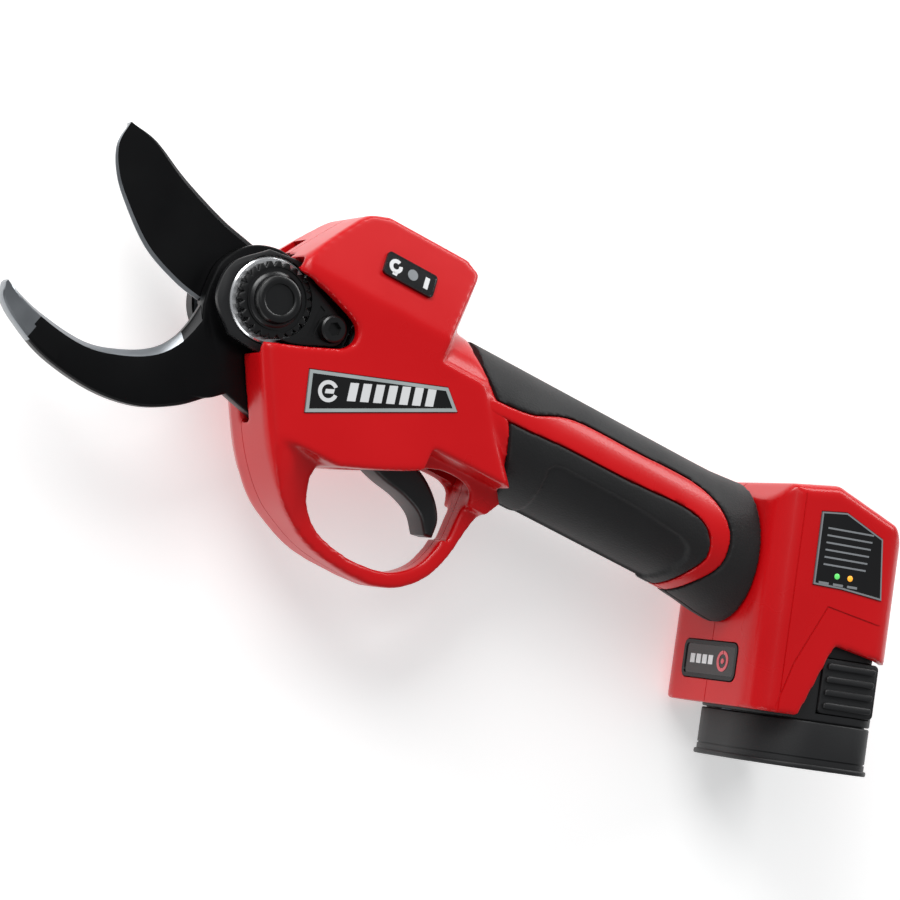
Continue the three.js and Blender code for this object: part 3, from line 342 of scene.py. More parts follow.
def mottled(tree, shader, place, light, dark, size_mm, rough, spread):
    """Colour and roughness drift slowly over the surface, as on any handled part."""
    cloud = noise(tree, place, 1000 / size_mm, 4)
    tint = add(tree, "ShaderNodeMix", {"data_type": "RGBA"}, links={"Factor": cloud})
    tint.inputs[6].default_value = linear(dark)
    tint.inputs[7].default_value = linear(light)
    tree.links.new(tint.outputs[2], shader.inputs["Base Color"])
    gloss = add(tree, "ShaderNodeMapRange", inputs={"From Min": 0.3, "From Max": 0.7,
                "To Min": rough - spread, "To Max": rough + spread}, links={"Value": cloud})
    tree.links.new(gloss.outputs["Result"], shader.inputs["Roughness"])


def dimpled(tree, shader, height, depth_mm):
    """Raises the surface by a pattern, depth_mm from low to high."""
    bump = add(tree, "ShaderNodeBump", inputs={"Distance": depth_mm * MM, "Strength": 1.0},
               links={"Height": height})
    tree.links.new(bump.outputs["Normal"], shader.inputs["Normal"])


def streaks(tree, place, across_mm, along_mm, turn=0.0):
    """Grinding or brushing lines, across_mm apart and along_mm long."""
    aim = add(tree, "ShaderNodeMapping", inputs={"Rotation": (0, 0, turn),
              "Scale": (1000 / along_mm, 1000 / across_mm, 1000 / across_mm)}, links={"Vector": place})
    return noise(tree, aim.outputs["Vector"], 1.0, 3)


def glossy_red_abs():
    """ABS from a polished mould: wet-looking gloss, a faint waviness and fine handling scuffs."""
    material, tree, shader, place = surface("glossy_red_abs", {"IOR": 1.53, "Specular IOR Level": 0.3,
        "Coat Weight": 0.12, "Coat Roughness": 0.12})
    mottled(tree, shader, place, COLOURS.red, COLOURS.red_shade, 38, 0.3, 0.05)
    dimpled(tree, shader, noise(tree, place, 1000 / 0.55), 0.012)
    return material


def stippled_rubber():
    """Overmoulded rubber with an eroded stipple of about 0.5 mm: flat black that greys on ridges."""
    material, tree, shader, place = surface("stippled_rubber", {"IOR": 1.5, "Sheen Weight": 0.08,
        "Sheen Roughness": 0.5, "Specular IOR Level": 0.4})
    mottled(tree, shader, place, COLOURS.rubber, "#0C0C0D", 26, 0.62, 0.08)
    pits = add(tree, "ShaderNodeTexVoronoi", inputs={"Scale": 1000 / 0.6}, links={"Vector": place})
    dimpled(tree, shader, pits.outputs["Distance"], 0.05)
    return material


def satin_black_plastic(name, colour, rough, grain_mm, depth_mm):
    """Satin black with a fine even grain: moulded ABS or nylon, or oiled black oxide on steel."""
    material, tree, shader, place = surface(name, {"IOR": 1.53, "Specular IOR Level": 0.5})
    mottled(tree, shader, place, colour, "#0A0A0B", 30, rough, 0.05)
    dimpled(tree, shader, noise(tree, place, 1000 / grain_mm), depth_mm)
    return material


def black_coated_steel():
    """Ground tool steel under a thin black non-stick coat: soft metal gloss, faint grinding lines."""
    material, tree, shader, place = surface("black_coated_steel", {"Metallic": 0.55,
        "Specular IOR Level": 0.35, "Coat Weight": 0.08, "Coat Roughness": 0.25})
    mottled(tree, shader, place, COLOURS.blade, "#08080A", 22, 0.36, 0.06)
    dimpled(tree, shader, streaks(tree, place, 0.35, 9, 0.5), 0.01)
    return material


def bare_steel(name, colour, rough, across_mm=0.25, along_mm=7, turn=0.6):
    """Machined or ground steel: bright, with parallel lines that stretch its highlights."""
    material, tree, shader, place = surface(name, {"Metallic": 1.0, "Anisotropic": 0.3})
    mottled(tree, shader, place, colour, "#7E8286", 18, rough, 0.06)
    dimpled(tree, shader, streaks(tree, place, across_mm, along_mm, turn), 0.008)
    return material


def chrome_with_painted_highlight():
    """Bright chrome plate: a soft gloss with a trace of smudging. A fifth of it is left diffuse, so its near-white
    colour paints a bright white highlight on the ring under any light.
    """
    # Metallic 0.8: the diffuse fifth of this near-white colour is a painted highlight.
    material, tree, shader, place = surface("chrome_with_painted_highlight", {"Metallic": 0.8})
    mottled(tree, shader, place, "#F6F7F8", "#E2E4E6", 9, 0.2, 0.06)
    return material


def plain_gloss(name, colour, shade, rough=0.2):
    """Printed film or gloss moulding: even colour under a clear skin."""
    material, tree, shader, place = surface(name, {"IOR": 1.5, "Coat Weight": 0.3,
        "Coat Roughness": 0.08})
    mottled(tree, shader, place, colour, shade, 12, rough, 0.03)
    return material


def lamp(name, colour):
    """A small diffused indicator lens, lit faintly."""
    material, tree, shader, place = surface(name, {"IOR": 1.49, "Emission Strength": 0.9,
        "Emission Color": linear(colour)})
    mottled(tree, shader, place, colour, colour, 5, 0.25, 0.02)
    return material


def make_finishes():
    return {
        "red_abs": glossy_red_abs(),
        "grip_rubber": stippled_rubber(),
        "black_abs": satin_black_plastic("spark_eroded_black_abs", "#17181A", 0.5, 0.5, 0.03),
        "black_nylon": satin_black_plastic("satin_black_nylon", "#1A1B1D", 0.4, 0.4, 0.012),
        "gloss_black": plain_gloss("gloss_black_film", "#0B0B0D", "#060607"),
        "coated_steel": black_coated_steel(),
        "black_oxide": satin_black_plastic("oiled_black_oxide", "#0F1011", 0.3, 0.8, 0.01),
        # the chrome's near-white diffuse part is a painted highlight
        "chrome": chrome_with_painted_highlight(),
        "gear_steel": bare_steel("machined_gear_steel", "#A9ADB1", 0.28, 0.3, 4),
        "zinc": bare_steel("bright_zinc_plate", "#BFC2C4", 0.3, 0.5, 5),
        "bronze": bare_steel("sintered_bronze", "#B08A4A", 0.42, 0.4, 0.5),
        "cast_aluminium": bare_steel("die_cast_aluminium", "#A8ABAD", 0.5, 0.8, 0.9),
        "copper_winding": bare_steel("enamelled_copper", "#B87248", 0.3, 0.5, 8),
        "circuit_board": plain_gloss("solder_mask_green", "#1F5A38", "#143F27", 0.35),
        "cell": plain_gloss("shrink_wrap_blue", "#2F6F9E", "#235577", 0.35),
        "red_wire": plain_gloss("silicone_red", "#B01818", "#8C1010", 0.45),
        "black_wire": plain_gloss("silicone_black", "#151515", "#0C0C0C", 0.45),
        "ground_edge": bare_steel("ground_blade_edge", "#A4A8AC", 0.34, 0.18, 5),
        "silver_trim": plain_gloss("silver_foil_trim", "#B4BCBC", "#98A0A0", 0.3),
        "white_print": plain_gloss("white_print", "#E8E9EA", "#DCDDDE", 0.35),
        "grey_print": plain_gloss("grey_print", "#8D9194", "#7F8386", 0.35),
        "coral_print": plain_gloss("coral_print", "#E2606A", "#D4525C", 0.35),
        "green_lamp": lamp("green_lamp", "#58C060"),
        "amber_lamp": lamp("amber_lamp", "#F0A030"),
    }


# ---- shapes of the housing ----
HEAD_TOP = 36.3
REAR_SCREW = (48.6, 26)
GUARD_SCREW = (22.4, -41.3)
TRIGGER_SLOT = (40, 79, -36, -12, -6.5, 6.5)
SLOT_CORE = (40.5, 78.6, -36, -12.5, -5.8, 5.8)  # cut once more, after the skin has been softened
HEAD_RIM = outline(
    [(1.5, 13.5)], [(0, -13.2)],
    [(6, -24), (14.5, -38), (23, -47.3), (31, -52), (41, -55.6), (54, -56.9), (62.5, -56.7)],
    [(69, -54.6), (73.6, -51.6), (77.4, -47.6), (79.6, -43.6), (81.6, -38), (83, -31.2), (84.4, -26.2)],
    [(88, -20)], [(76, -6)], [(64, 10)], [(61.5, 18.5)],
    [(60, 26), (55.5, 32), (48.6, HEAD_TOP)], [(22, HEAD_TOP)],
    [(15.8, 33.6), (11.5, 28.5), (5.5, 19.8), (1.5, 13.5)])
FINGER_HOLE = outline(
    [(30.6, -38.4)], [(33.2, -44.8), (39, -49.8), (46, -51.9), (54, -52.6), (61.3, -52.2)],
    [(67.2, -50.6), (73, -46.2), (76.2, -40), (78, -32), (79.2, -26.5)],
    [(78.2, -21.2), (74.5, -19.2), (69, -19), (63, -20.8), (54, -25.6), (45, -29.4), (36, -32.8)],
    [(31.6, -34.8), (30.6, -38.4)])
WINDOW = outline(
    [(-30, 18)], [(-30, -19.5)], [(-8.6, -19.5)],
    [(-6.4, -16.2), (-1.6, -12.9), (4, -11), (11, -8.6), (18.5, -5.6)],
    [(22.6, -3.6), (24.6, 0), (23.2, 3.4), (20, 5.2)], [(10, 8.4), (-1, 10.2)], [(-4, 18)])
# Each mark of the stripe's path is x, y and its half width.
STRIPE_PATH = [(68, 1.6, 1.8), (82, 2.4, 2.3), (96, 5.2, 4.3), (118, 5.6, 4.4), (139, 6, 4.1),
               (149.6, 1.6, 3.5), (153.4, -7, 2.7), (150.4, -15, 2), (146, -24, 1.6)]
HOUSING_RIM = outline([(-20, 5)], [(25.8, 5)], [(25.8, 67)], [(21, 74)], [(6, 80)], [(0, 82.4)],
                      [(-15.5, 80.8)], [(-20, 75.5)])
HOUSING_FOOT = outline([(-32, 15)], [(-5, 15)], [(4.5, 36.5)], [(38, 30.4)], [(38, -22)], [(-32, -22)])
NAME_RIM = outline([(15.3, -13.4)], [(54.6, -0.1)], [(59.9, -4.9)], [(18.9, -24.5)])
RATING_RIM = outline([(-6, 53)], [(3.5, 52.8)], [(17.6, 51.4)], [(15.4, 69)], [(2.2, 74.8)], [(-6.2, 74)])


def red_region(extra):
    """The head and the land behind it, up to where the rubber starts."""
    return ((40, 24), (60 + extra, 24), (61 + extra, 14), (70 + extra, 4 + extra), (76 + extra, 0.4),
            (88.5 + extra, -24), (40, -24))


def stripe_band(extra, steps=8):
    """The red stripe's outline on the grip, a band of changing half width along its path."""
    line = through(STRIPE_PATH, steps)
    near, far = [], []
    for i, mark in enumerate(line):
        along = line[min(i + 1, len(line) - 1)] - line[max(i - 1, 0)]
        side = Vector((-along.y, along.x)).normalized() * (mark.z + extra)
        near.append(Vector((mark.x, mark.y)) + side)
        far.append(Vector((mark.x, mark.y)) - side)
    return near + far[::-1]


def pack_rim(extra):
    return rounded_box(-13.8 - extra, 25.8 + extra, -25 - extra, 25 + extra, 9 + extra, 8, 19 + extra)


def upright(points, low, high, edge=0, segments=3):
    """An outline in u and z raised along v, the battery's own height."""
    return prism([(p[0], -p[1]) for p in points], low, high, edge, segments, ALONG_Y)


# Below this height the far side of the head moves back and up, by these shares of the depth.
FAR_FROM = -7
FAR_BACK = 0.33
FAR_UP = 0.155
FAR_SHEAR = Matrix(((1, 0, -FAR_BACK, FAR_BACK * FAR_FROM), (0, 1, -FAR_UP, FAR_UP * FAR_FROM),
                    (0, 0, 1, 0), (0, 0, 0, 1)))


def far_slope(rim):
    """The head's outline, sheared on the far side. Above the pivot it stays upright."""
    return join(moved(prism(rim, -40, FAR_FROM), FAR_SHEAR),
                box_solid(-50, 200, -90, 60, FAR_FROM - 0.1, 40), box_solid(-50, 200, 13.3, 60, -40, 40))


def rear_taper(ridge, low):
    """What the head's rear loses above low, so that its sides close in towards a middle ridge."""
    corner, beyond, half = ridge - 8.7, 90, 19.8
    rim = [(ridge, 0), (corner, half), (beyond, half), (beyond, -half), (corner, -half)]
    return upright(rim, low, 60)


def head_solid():
    body = prism(HEAD_RIM, -HEAD_HALF, HEAD_HALF, 3.2, 4)
    slope = [(-19.3, -90), (19.3, -90), (19.3, 10), (18.8, 13), (12, HEAD_TOP + 1), (-12, HEAD_TOP + 1),
             (-18.8, 13), (-19.3, 10)]
    cheeks = prism([(z, y) for z, y in slope], -60, 130, turn=ALONG_X)
    taper = through([(-30, 19.4), (10, 19.2), (20, 17.6), (27, 14.2), (34, 10.6), (44, 8), (56, 5.4),
                     (70, 4.9), (120, 4.9)], 5)
    rim = [(p.x, p.y) for p in taper] + [(p.x, -p.y) for p in reversed(taper)]
    guard = upright(rim, -90, -18)
    upper = cut(box_solid(-50, 200, -33.5, 60, -40, 40), box_solid(70, 200, -60, -25, -50, 50),
                box_solid(58, 200, -60, -17, 8.5, 50), box_solid(58, 200, -60, -17, -50, -8.5))
    body = common(body, cheeks)
    body = common(body, join(guard, upper))
    body = common(body, far_slope(HEAD_RIM))
    return cut(body, rear_taper(58.5, 6), prism(FINGER_HOLE, -50, 50))


def housing_solid(wall=0.0):
    """The battery housing, or its hollow where a wall is given."""
    rim = grown(HOUSING_RIM, -wall)
    half = BASE_HALF - wall
    plan = rounded_box(-20 + wall, 25.8 - wall, -half, half, 9 - wall)
    return common(prism(rim, -half, half, 3 if wall == 0 else 0.5, 3), upright(plan, -20, 120))


def head_room():
    """The hollow of the head, which follows its outside."""
    inner = grown(HEAD_RIM, -2.5)
    room = prism(inner, -16.5, 16.5)
    slope = [(-16.5, -31), (16.5, -31), (16.5, 13.5), (9.5, HEAD_TOP), (-9.5, HEAD_TOP), (-16.5, 13.5)]
    room = common(room, prism(slope, -60, 130, turn=ALONG_X), far_slope(inner))
    return cut(room, rear_taper(55.4, 3.4), prism(grown(FINGER_HOLE, 2.5), -50, 50),
               box_solid(64, 120, -40, 30, -50, 50), box_solid(54, 70, -40, -14.5, 6, 40),
               box_solid(54, 70, -40, -14.5, -40, -6))


def mouth():
    """The slots at the front that the blades and the gear pass through."""
    return join(box_solid(-30, 8, -13, 13.2, -16.5, 16.5), box_solid(-30, 4.4, -14.8, 13.9, -16.5, 16.5),
                box_solid(-30, 20, -31.2, 16.2, -0.1, HOOK_FOOT + HOOK_THICK + 0.4),
                box_solid(-30, 20, -18.5, 16.2, -5, 0.1))


def sector_room():
    """Where the gear and the moving blade's hub turn."""
    return join(common(rod(24.8, -13.1, -4), box_solid(3, 40, -40, 40, -40, 40)), rod(17.5, -5, -0.1))


def outer_skin():
    """The whole outside of the red housing, melted into one soft-edged skin."""
    head = cut(head_solid(), mouth(), prism(WINDOW, 5, 40), box_solid(*TRIGGER_SLOT))
    body = cut(housing_solid(), prism(HOUSING_FOOT, -50, 50))
    moved(body, LEAN)
    land = common(bar(GRIP_R, 46, 92), prism(red_region(-0.1), -40, 40))
    whole = join(head, bar(GRIP_R - RUBBER, 50, 174), land, body)
    return softened(whole, SIZES.skin_step, SIZES.skin_rounds)


def panel_grooves(side):
    """Shallow lines: one sets off the housing's front, and one runs round the battery's notch."""
    low, high = sorted((side * (BASE_HALF - 0.35), side * (BASE_HALF + 2)))
    front = ((-12.2, 14), (-11.8, 14), (-11.8, 81.6), (-12.2, 81.6))
    notch = ((30, 42.2), (0, 47.4), (-9, 30), (-14, 14), (-13.5, 14), (-8.5, 29.8), (0.3, 46.9), (30, 41.7))
    return [moved(prism(rim, low, high), LEAN) for rim in (front, notch)]


def housing_halves():
    skin = outer_skin()
    cavity = join(head_room(), sector_room(), bar(13.9, 34, 156), bar(8, 154, 190),
                  box_solid(*SLOT_CORE))
    skin = cut(skin, cavity, moved(housing_solid(2.3), LEAN), moved(upright(pack_rim(0.3), -5, 34), LEAN))
    skin = cut(skin, *panel_grooves(1), *panel_grooves(-1))
    halves = {}
    for side, name in ((1, "left_housing"), (-1, "right_housing")):
        step = prism(rounded_box(-15.35, 15.35, 21.65, 33.35, 2.5), -8, 8,
                     turn=Matrix.Translation((-18, 0, 0)) @ Matrix.Rotation(-math.pi / 2, 4, "Y"))
        halves[name] = cut(half_of(skin, side), moved(step, LEAN))
    bpy.data.objects.remove(skin)
    halves["left_housing"] = cut(halves["left_housing"], prism(grown(NAME_RIM, 0.25), HEAD_HALF - 0.8, 40),
                                 moved(prism(grown(RATING_RIM, 0.25), BASE_HALF - 0.8, 40), LEAN))
    sinks = [(3.1, -11.5, (15, 27)), (2.4, -8.6, REAR_SCREW), (2.4, -8.6, GUARD_SCREW),
             (3.1, 3 - BASE_HALF, (LEAN @ Vector((-12.5, 76.2, 0))).xy)]
    right = cut(halves["right_housing"], rod(8.3, -30, -10))
    halves["right_housing"] = cut(right, *[rod(radius, -40, floor, at) for radius, floor, at in sinks])
    for name in halves:
        halves[name] = cut(halves[name], *[rod(1.4, -9, 8.4, at) for at in (REAR_SCREW, GUARD_SCREW)])
    return halves


def small_screw(at):
    """A housing screw, from its sunk head to its point."""
    body = lathe([(0, -8.5), (1.7, -8.5), (2.1, -8.1), (2.1, -7), (1.3, -7), (1.3, 7.6), (0.9, 8),
                  (0, 8)], 32)
    return cut(moved(body, Matrix.Translation((*at, 0))), rod(1.1, -9, -7.6, at, 6))


def pivot_cap():
    """A thin dark cup over the pivot's far end, in front of the housing."""
    cup = cut(rod(13.4, -17.1, -12.9, segments=96), rod(12.85, -16.4, -10, segments=96), rod(8.3, -30, -10))
    return common(cup, box_solid(-20, 2.9, -20, 20, -20, 0))


# ---- the grip ----
def stripe_skin(side):
    """The red stripe, which stands just proud of the rubber."""
    skin = cut(bar(GRIP_R + 0.12, 66, 157, 160), bar(GRIP_R - RUBBER + 0.05, 60, 160, 160))
    low, high = sorted((side * SPLIT, side * 40))
    skin = common(skin, prism(stripe_band(-0.1), -40, 40))
    skin = common(skin, box_solid(60, 200, -24, 24, low, high))
    return softened(skin, 0.42, 4)


def sleeve():
    """The rubber round the grip, with its flared collar, before the red is let into it."""
    core = GRIP_R - RUBBER + 0.05
    profile = [(core, 50), (GRIP_R, 50), (GRIP_R, 140), (GRIP_R + 0.1, 148), (GRIP_R + 0.9, 157),
               (COLLAR_R, 163), (COLLAR_R + 0.3, 168), (COLLAR_R, 176), (core, 176)]
    body = lathe(profile, 160, ALONG_X)
    clear = outline([(-20.3, -60)], [(60, -60)], [(60, 140)], [(-20.3, 140)])
    body = cut(body, moved(prism(clear, -60, 60), LEAN), prism(red_region(0.3), -40, 40))
    return cut(body, prism(grown(HEAD_RIM, 0.3), -60, 60), prism(stripe_band(0.25), -40, 40))


def palm_panel(side):
    """The smooth panel sunk into the pad below the stripe."""
    rim = outline([(93.1, -7)], [(94.6, -4.9), (98, -4.1)], [(120, -4.3), (139.7, -5.7)],
                  [(144, -7.6), (145.8, -10.8)], [(144.6, -15.6), (141.1, -20.1)], [(97, -20.6)])
    low, high = sorted((side * 0.5, side * 40))
    window = prism(grown(rim, -0.1), low, high)
    return common(window, cut(bar(GRIP_R + 3, 80, 160, 160), bar(GRIP_R - 0.75, 70, 170, 160)))


def grip_rubber():
    body = sleeve()
    pieces = {}
    for side, hand in ((1, "left"), (-1, "right")):
        pieces[hand] = softened(cut(half_of(body, side), palm_panel(side)), 0.5, 3)
    bpy.data.objects.remove(body)
    return pieces


# ---- blades ----
def ground_blade(edge, back, low, high, section, count=72):
    """A blade swept from its edge to its back. The section gives, across the blade, a share of its
    width and a share of its thickness, and runs once round."""
    edge = evenly(edge, count)
    back = evenly(back, count)
    bm = bmesh.new()
    bmesh.ops.create_grid(bm, x_segments=count, y_segments=len(section), size=1)
    for v in bm.verts:
        i = round((v.co.x + 1) / 2 * count)
        k = round((v.co.y + 1) / 2 * len(section)) % len(section)
        across, up = section[k]
        place = edge[i].lerp(back[i], across)
        v.co = (place.x, place.y, low + (high - low) * up)
    bmesh.ops.remove_doubles(bm, verts=bm.verts, dist=1e-3)
    bmesh.ops.holes_fill(bm, edges=[e for e in bm.edges if e.is_boundary])
    bmesh.ops.dissolve_degenerate(bm, dist=1e-4, edges=bm.edges)
    return solid(bm)


MOVING_EDGE = through([(-52.6, 27.9), (-53.5, 21), (-50.6, 14.2), (-45.2, 8), (-34.6, -0.6),
                       (-23.1, -5.2), (-14, -6.9), (-8, -7.4)], 6)
MOVING_BACK = through([(-52.3, 28), (-43.7, 26.8), (-31.8, 21.4), (-18, 16.6), (-9, 14.6), (-2, 13.2)], 6)
HOOK_EDGE = through([(-66.6, -26.4), (-55.2, -30.1), (-40.6, -31.8), (-29.6, -28.8), (-21.9, -24.4),
                     (-17.8, -19.3), (-15.8, -13.9), (-14.8, -8.2)], 6)
HOOK_BACK = through([(-67, -27.4), (-65.9, -31.6), (-60.2, -35.8), (-49.1, -40.6), (-33.6, -42.8),
                     (-20.3, -41.2), (-9.9, -36.2), (-2.9, -30.5), (1.4, -27)], 6)
LIGHT_TIP_FROM = -55.1  # from here out to its tip the hook takes the light steel finish, not its black coat
MOVING_SECTION = ((0, 0.86), (0.045, 1), (0.5, 1), (0.94, 1), (0.985, 0.9), (1, 0.7), (1, 0.2),
                  (0.97, 0.02), (0.9, 0), (0.42, 0), (0.2, 0.34), (0.0, 0.76))
HOOK_SECTION = ((0, 0.3), (0, 0.62), (0.03, 0.74), (0.13, 0.97), (0.2, 1), (0.5, 1.0), (0.85, 1),
                (0.95, 0.93), (0.99, 0.8), (1, 0.6), (1, 0.2), (0.97, 0.03), (0.9, 0), (0.06, 0),
                (0.015, 0.06))


def moving_blade():
    blade = ground_blade(MOVING_EDGE, MOVING_BACK, BLADE_TOP - BLADE_THICK, BLADE_TOP, MOVING_SECTION)
    hub = outline([(-14, -6.9)], [(-11, -9), (-5, -12.2), (3, -12.4), (9.4, -8.8), (12.4, -2), (11, 5.8),
                  (5, 11.6), (-2, 12.9)], [(-9, 12.5)], [(-14, 0)])
    blade = join(blade, prism(hub, BLADE_TOP - BLADE_THICK, BLADE_TOP, 0.4, 2))
    studs = [rod(2.05, -10, -0.2, (8.6 * math.cos(turn), 8.6 * math.sin(turn)))
             for turn in (math.pi / 3, math.pi * 4 / 3)]
    return cut(blade, rod(5.26, -10, 10), *studs)


def fixed_blade():
    blade = ground_blade(HOOK_EDGE, HOOK_BACK, HOOK_FOOT, HOOK_FOOT + HOOK_THICK, HOOK_SECTION, 90)
    foot = outline([(-14.8, -8.2)], [(-12, -16)], [(-9.5, -33)], [(-2.9, -30.5), (1.4, -27.2)],
                   [(16, -30.8)], [(32.5, -30.8)], [(32.5, -15)], [(22, -14)], [(13.4, -11)],
                   [(13.2, 8)], [(9, 12.6), (0, 15.4), (-9, 12.6), (-14.6, 5.4), (-15.4, -2), (-14.8, -8.2)])
    blade = join(blade, prism(foot, HOOK_FOOT, HOOK_FOOT + HOOK_THICK, 0.7, 3))
    return cut(blade, rod(4.2, -10, 10), *[rod(1.7, -1, 10, at) for at in ((17.2, -25.6), (28, -25.6))])


def near_line(point, line):
    return min((Vector(point[:2]) - mark.xy).length for mark in line)


def paint_edges(piece, line, reach, tilt, tip=None):
    """The ground faces along an edge, and the faces past the tip line, take the second finish. In millimetres."""
    for face in piece.data.polygons:
        middle = face.center
        beside = near_line(middle, line) < reach and tilt[0] < face.normal.z < tilt[1]
        past_tip = tip is not None and middle.x < tip
        face.material_index = 1 if beside or past_tip else 0


# ---- pivot, nut and lock ----
def chrome_ring():
    low = HOOK_FOOT + HOOK_THICK + 0.15
    profile = [(4.3, low), (11.4, low), (11.8, low + 0.4), (11.8, 8.9), (12, 9.3), (12, RING_TOP - 0.9),
               (11.8, RING_TOP - 0.35), (11.3, RING_TOP), (10.2, RING_TOP), (9.8, RING_TOP - 0.3),
               (4.3, RING_TOP - 0.3), (4.3, low)]
    return lathe(profile, 128)


def star_nut():
    low = RING_TOP + 0.15
    rim = []
    for i in range(24):
        for share, radius in ((-0.2, NUT_R - 1.25), (0.05, NUT_R - 0.1), (0.25, NUT_R), (0.45, NUT_R - 0.1)):
            turn = (i + share) / 24 * 2 * math.pi
            rim.append((radius * math.cos(turn), radius * math.sin(turn)))
    flange = prism(rim, low, low + 3.2, 0.25, 2)
    hub = lathe([(0, low + 1), (7.6, low + 1), (7.6, low + 3.4), (7.2, low + 3.7), (6.7, low + 3.9),
                 (6.5, 17.2), (6.2, 17.7), (5.6, 18), (4.6, 18), (4.25, 17.8), (4.12, 17.2),
                 (0, 17.2)], 96)
    groove = lathe([(8.1, low + 3.4), (8.1, low + 2.7), (9.0, low + 2.7), (9.0, low + 3.4),
                    (8.1, low + 3.4)], 96)
    return cut(join(flange, hub), groove, rod(4.06, 0, 16.9))


def lock_plate():
    low = COVER_TOP + 0.2
    rim = outline([(5.5, 10.4)], [(3.5, -9.8)], [(11, -8.4), (17.6, -5.6)],
                  [(21.6, -3.8), (23.2, 0), (21.8, 3.4), (18.6, 4.9)])
    body = prism(rim, low, low + 2.7, 0.6, 3)
    pocket = prism(outline([(12.6, 4.6)], [(12.4, -4.6)], [(14.2, -4.2)], [(14.4, 3.8)]), low + 2.2, 30)
    return cut(body, rod(NUT_R + 0.25, 0, 30, segments=96), rod(1.9, 0, 30, (18, 0)), pocket)


def lock_screw():
    seat = COVER_TOP + 0.2 + 2.7 + 0.15
    body = lathe([(0, COVER_FOOT + 0.1), (1.7, COVER_FOOT + 0.1), (1.7, seat), (3.7, seat), (3.9, seat + 0.2),
                  (3.9, seat + 1.7), (3.7, seat + 2.2), (3.2, seat + 2.5), (0, seat + 2.5)], 64)
    return moved(cut(body, rod(2.0, seat + 0.9, seat + 5, segments=6)), Matrix.Translation((18, 0, 0)))


def gear_cover():
    rim = outline([(-6, 12.4)], [(-14.4, 4), (-14.4, -6), (-7, -13.6)], [(3, -14.4)], [(24.6, -12)],
                  [(24.6, 11)], [(2, 13.4)])
    body = prism(rim, COVER_FOOT, COVER_TOP, 0.4, 2)
    return cut(body, rod(12.3, 0, 30, segments=96), rod(1.9, 0, 30, (18, 0)))


# ---- trigger ----
def trigger():
    rim = outline([(43, -16.4)],
        [(42.2, -20), (44.4, -23.8), (48.6, -26.8), (54, -28.6), (61.4, -30), (67.6, -32.6), (71.6, -37.2)],
        [(74.3, -36.8)],
        [(73.8, -31.6), (70.4, -26.6), (64.6, -22.2), (56, -18.8), (50, -16.6)],
        [(47.4, -14.9)], [(44.6, -14.9)])
    body = prism(rim, -5.4, 5.4, 1.5, 4)
    return cut(body, rod(1.56, -10, 10, (46, -18.2)))


# ---- plates and marks ----
def framed_plate(points, low, high, border, sink):
    """A plate with a raised rim: its face is inset and pushed in, and takes the second finish."""
    bm = bmesh.new()
    raise_outline(bm, points, low, high - low)
    bmesh.ops.recalc_face_normals(bm, faces=bm.faces)
    top = max(bm.faces, key=lambda f: f.calc_center_median().z)
    bmesh.ops.inset_region(bm, faces=[top], thickness=border, depth=0, use_even_offset=True)
    top.material_index = 1
    bmesh.ops.inset_region(bm, faces=[top], thickness=0.12, depth=-sink, use_even_offset=True)
    return new_object(bm, "plate")


def raised_marks(outlines, low, thick):
    """Thin raised marks, each a small outline, as one mesh."""
    bm = bmesh.new()
    for points in outlines:
        raise_outline(bm, points, low, thick)
    return solid(bm)


def disc(x, y, radius, steps=32):
    turns = [2 * math.pi * i / steps for i in range(steps)]
    return [(x + radius * math.cos(turn), y + radius * math.sin(turn)) for turn in turns]


def arc_band(x, y, inner, outer, start, end, steps=24):
    """A stretch of a ring, from one angle to another in degrees."""
    turns = [math.radians(start + (end - start) * i / steps) for i in range(steps + 1)]
    out = [(x + outer * math.cos(turn), y + outer * math.sin(turn)) for turn in turns]
    back = [(x + inner * math.cos(turn), y + inner * math.sin(turn)) for turn in reversed(turns)]
    return out + back


def slanted_bar(x, y, wide, tall, lean):
    return [(x, y), (x + wide, y), (x + wide + lean, y + tall), (x + lean, y + tall)]


def bar_mark(x0, x1, y0, y1):
    return [(x0, y0), (x1, y0), (x1, y1), (x0, y1)]


# The name plate's own axes: along its middle line, and across it.
NAME_TURN = Matrix.Translation((36.6, -10.5, 0)) @ Matrix.Rotation(math.radians(22), 4, "Z")


def name_plate():
    return framed_plate(NAME_RIM, HEAD_HALF - 0.5, HEAD_HALF + 0.35, 0.95, 0.2)


def name_marks():
    """A plain ring with a notch, and a row of leaning bars, in place of any lettering."""
    top = HEAD_HALF + 0.15
    ring = [arc_band(-15.2, -0.3, 1.9, 3, 25, 335), slanted_bar(-16.2, -0.9, 2.6, 1.2, 0.3)]
    bars = [slanted_bar(-9.6 + i * 3.9, -2.6, 2.5, 5.0, 0.9) for i in range(7)]
    return moved(raised_marks(ring + bars, top, 0.14), NAME_TURN)


def cheek_badge():
    slope = math.atan2(HEAD_HALF - 11.5, HEAD_TOP + 1 - 12)
    height = HEAD_HALF - (23.4 - 12) * math.tan(slope)
    turn = Matrix.Translation((32.3, 23.4, height)) @ Matrix.Rotation(-slope, 4, "X")
    plate = framed_plate(rounded_box(-8.2, 8.2, -3.5, 3.5, 1.1, 5), 0.25, 1.1, 0.35, 0.1)
    white = raised_marks([arc_band(-4.9, 0, 0.95, 2.1, 60, 380), bar_mark(4.6, 6.0, -1.9, 1.6),
                          slanted_bar(-5.4, -2.7, 1.4, 0.9, 0.2)], 1.0, 0.14)
    grey = raised_marks([disc(0.7, 0.1, 1.6)], 1.0, 0.14)
    return [moved(piece, turn) for piece in (plate, white, grey)]


def rating_plate():
    return moved(framed_plate(RATING_RIM, BASE_HALF - 0.5, BASE_HALF + 0.35, 0.45, 0.15), LEAN)


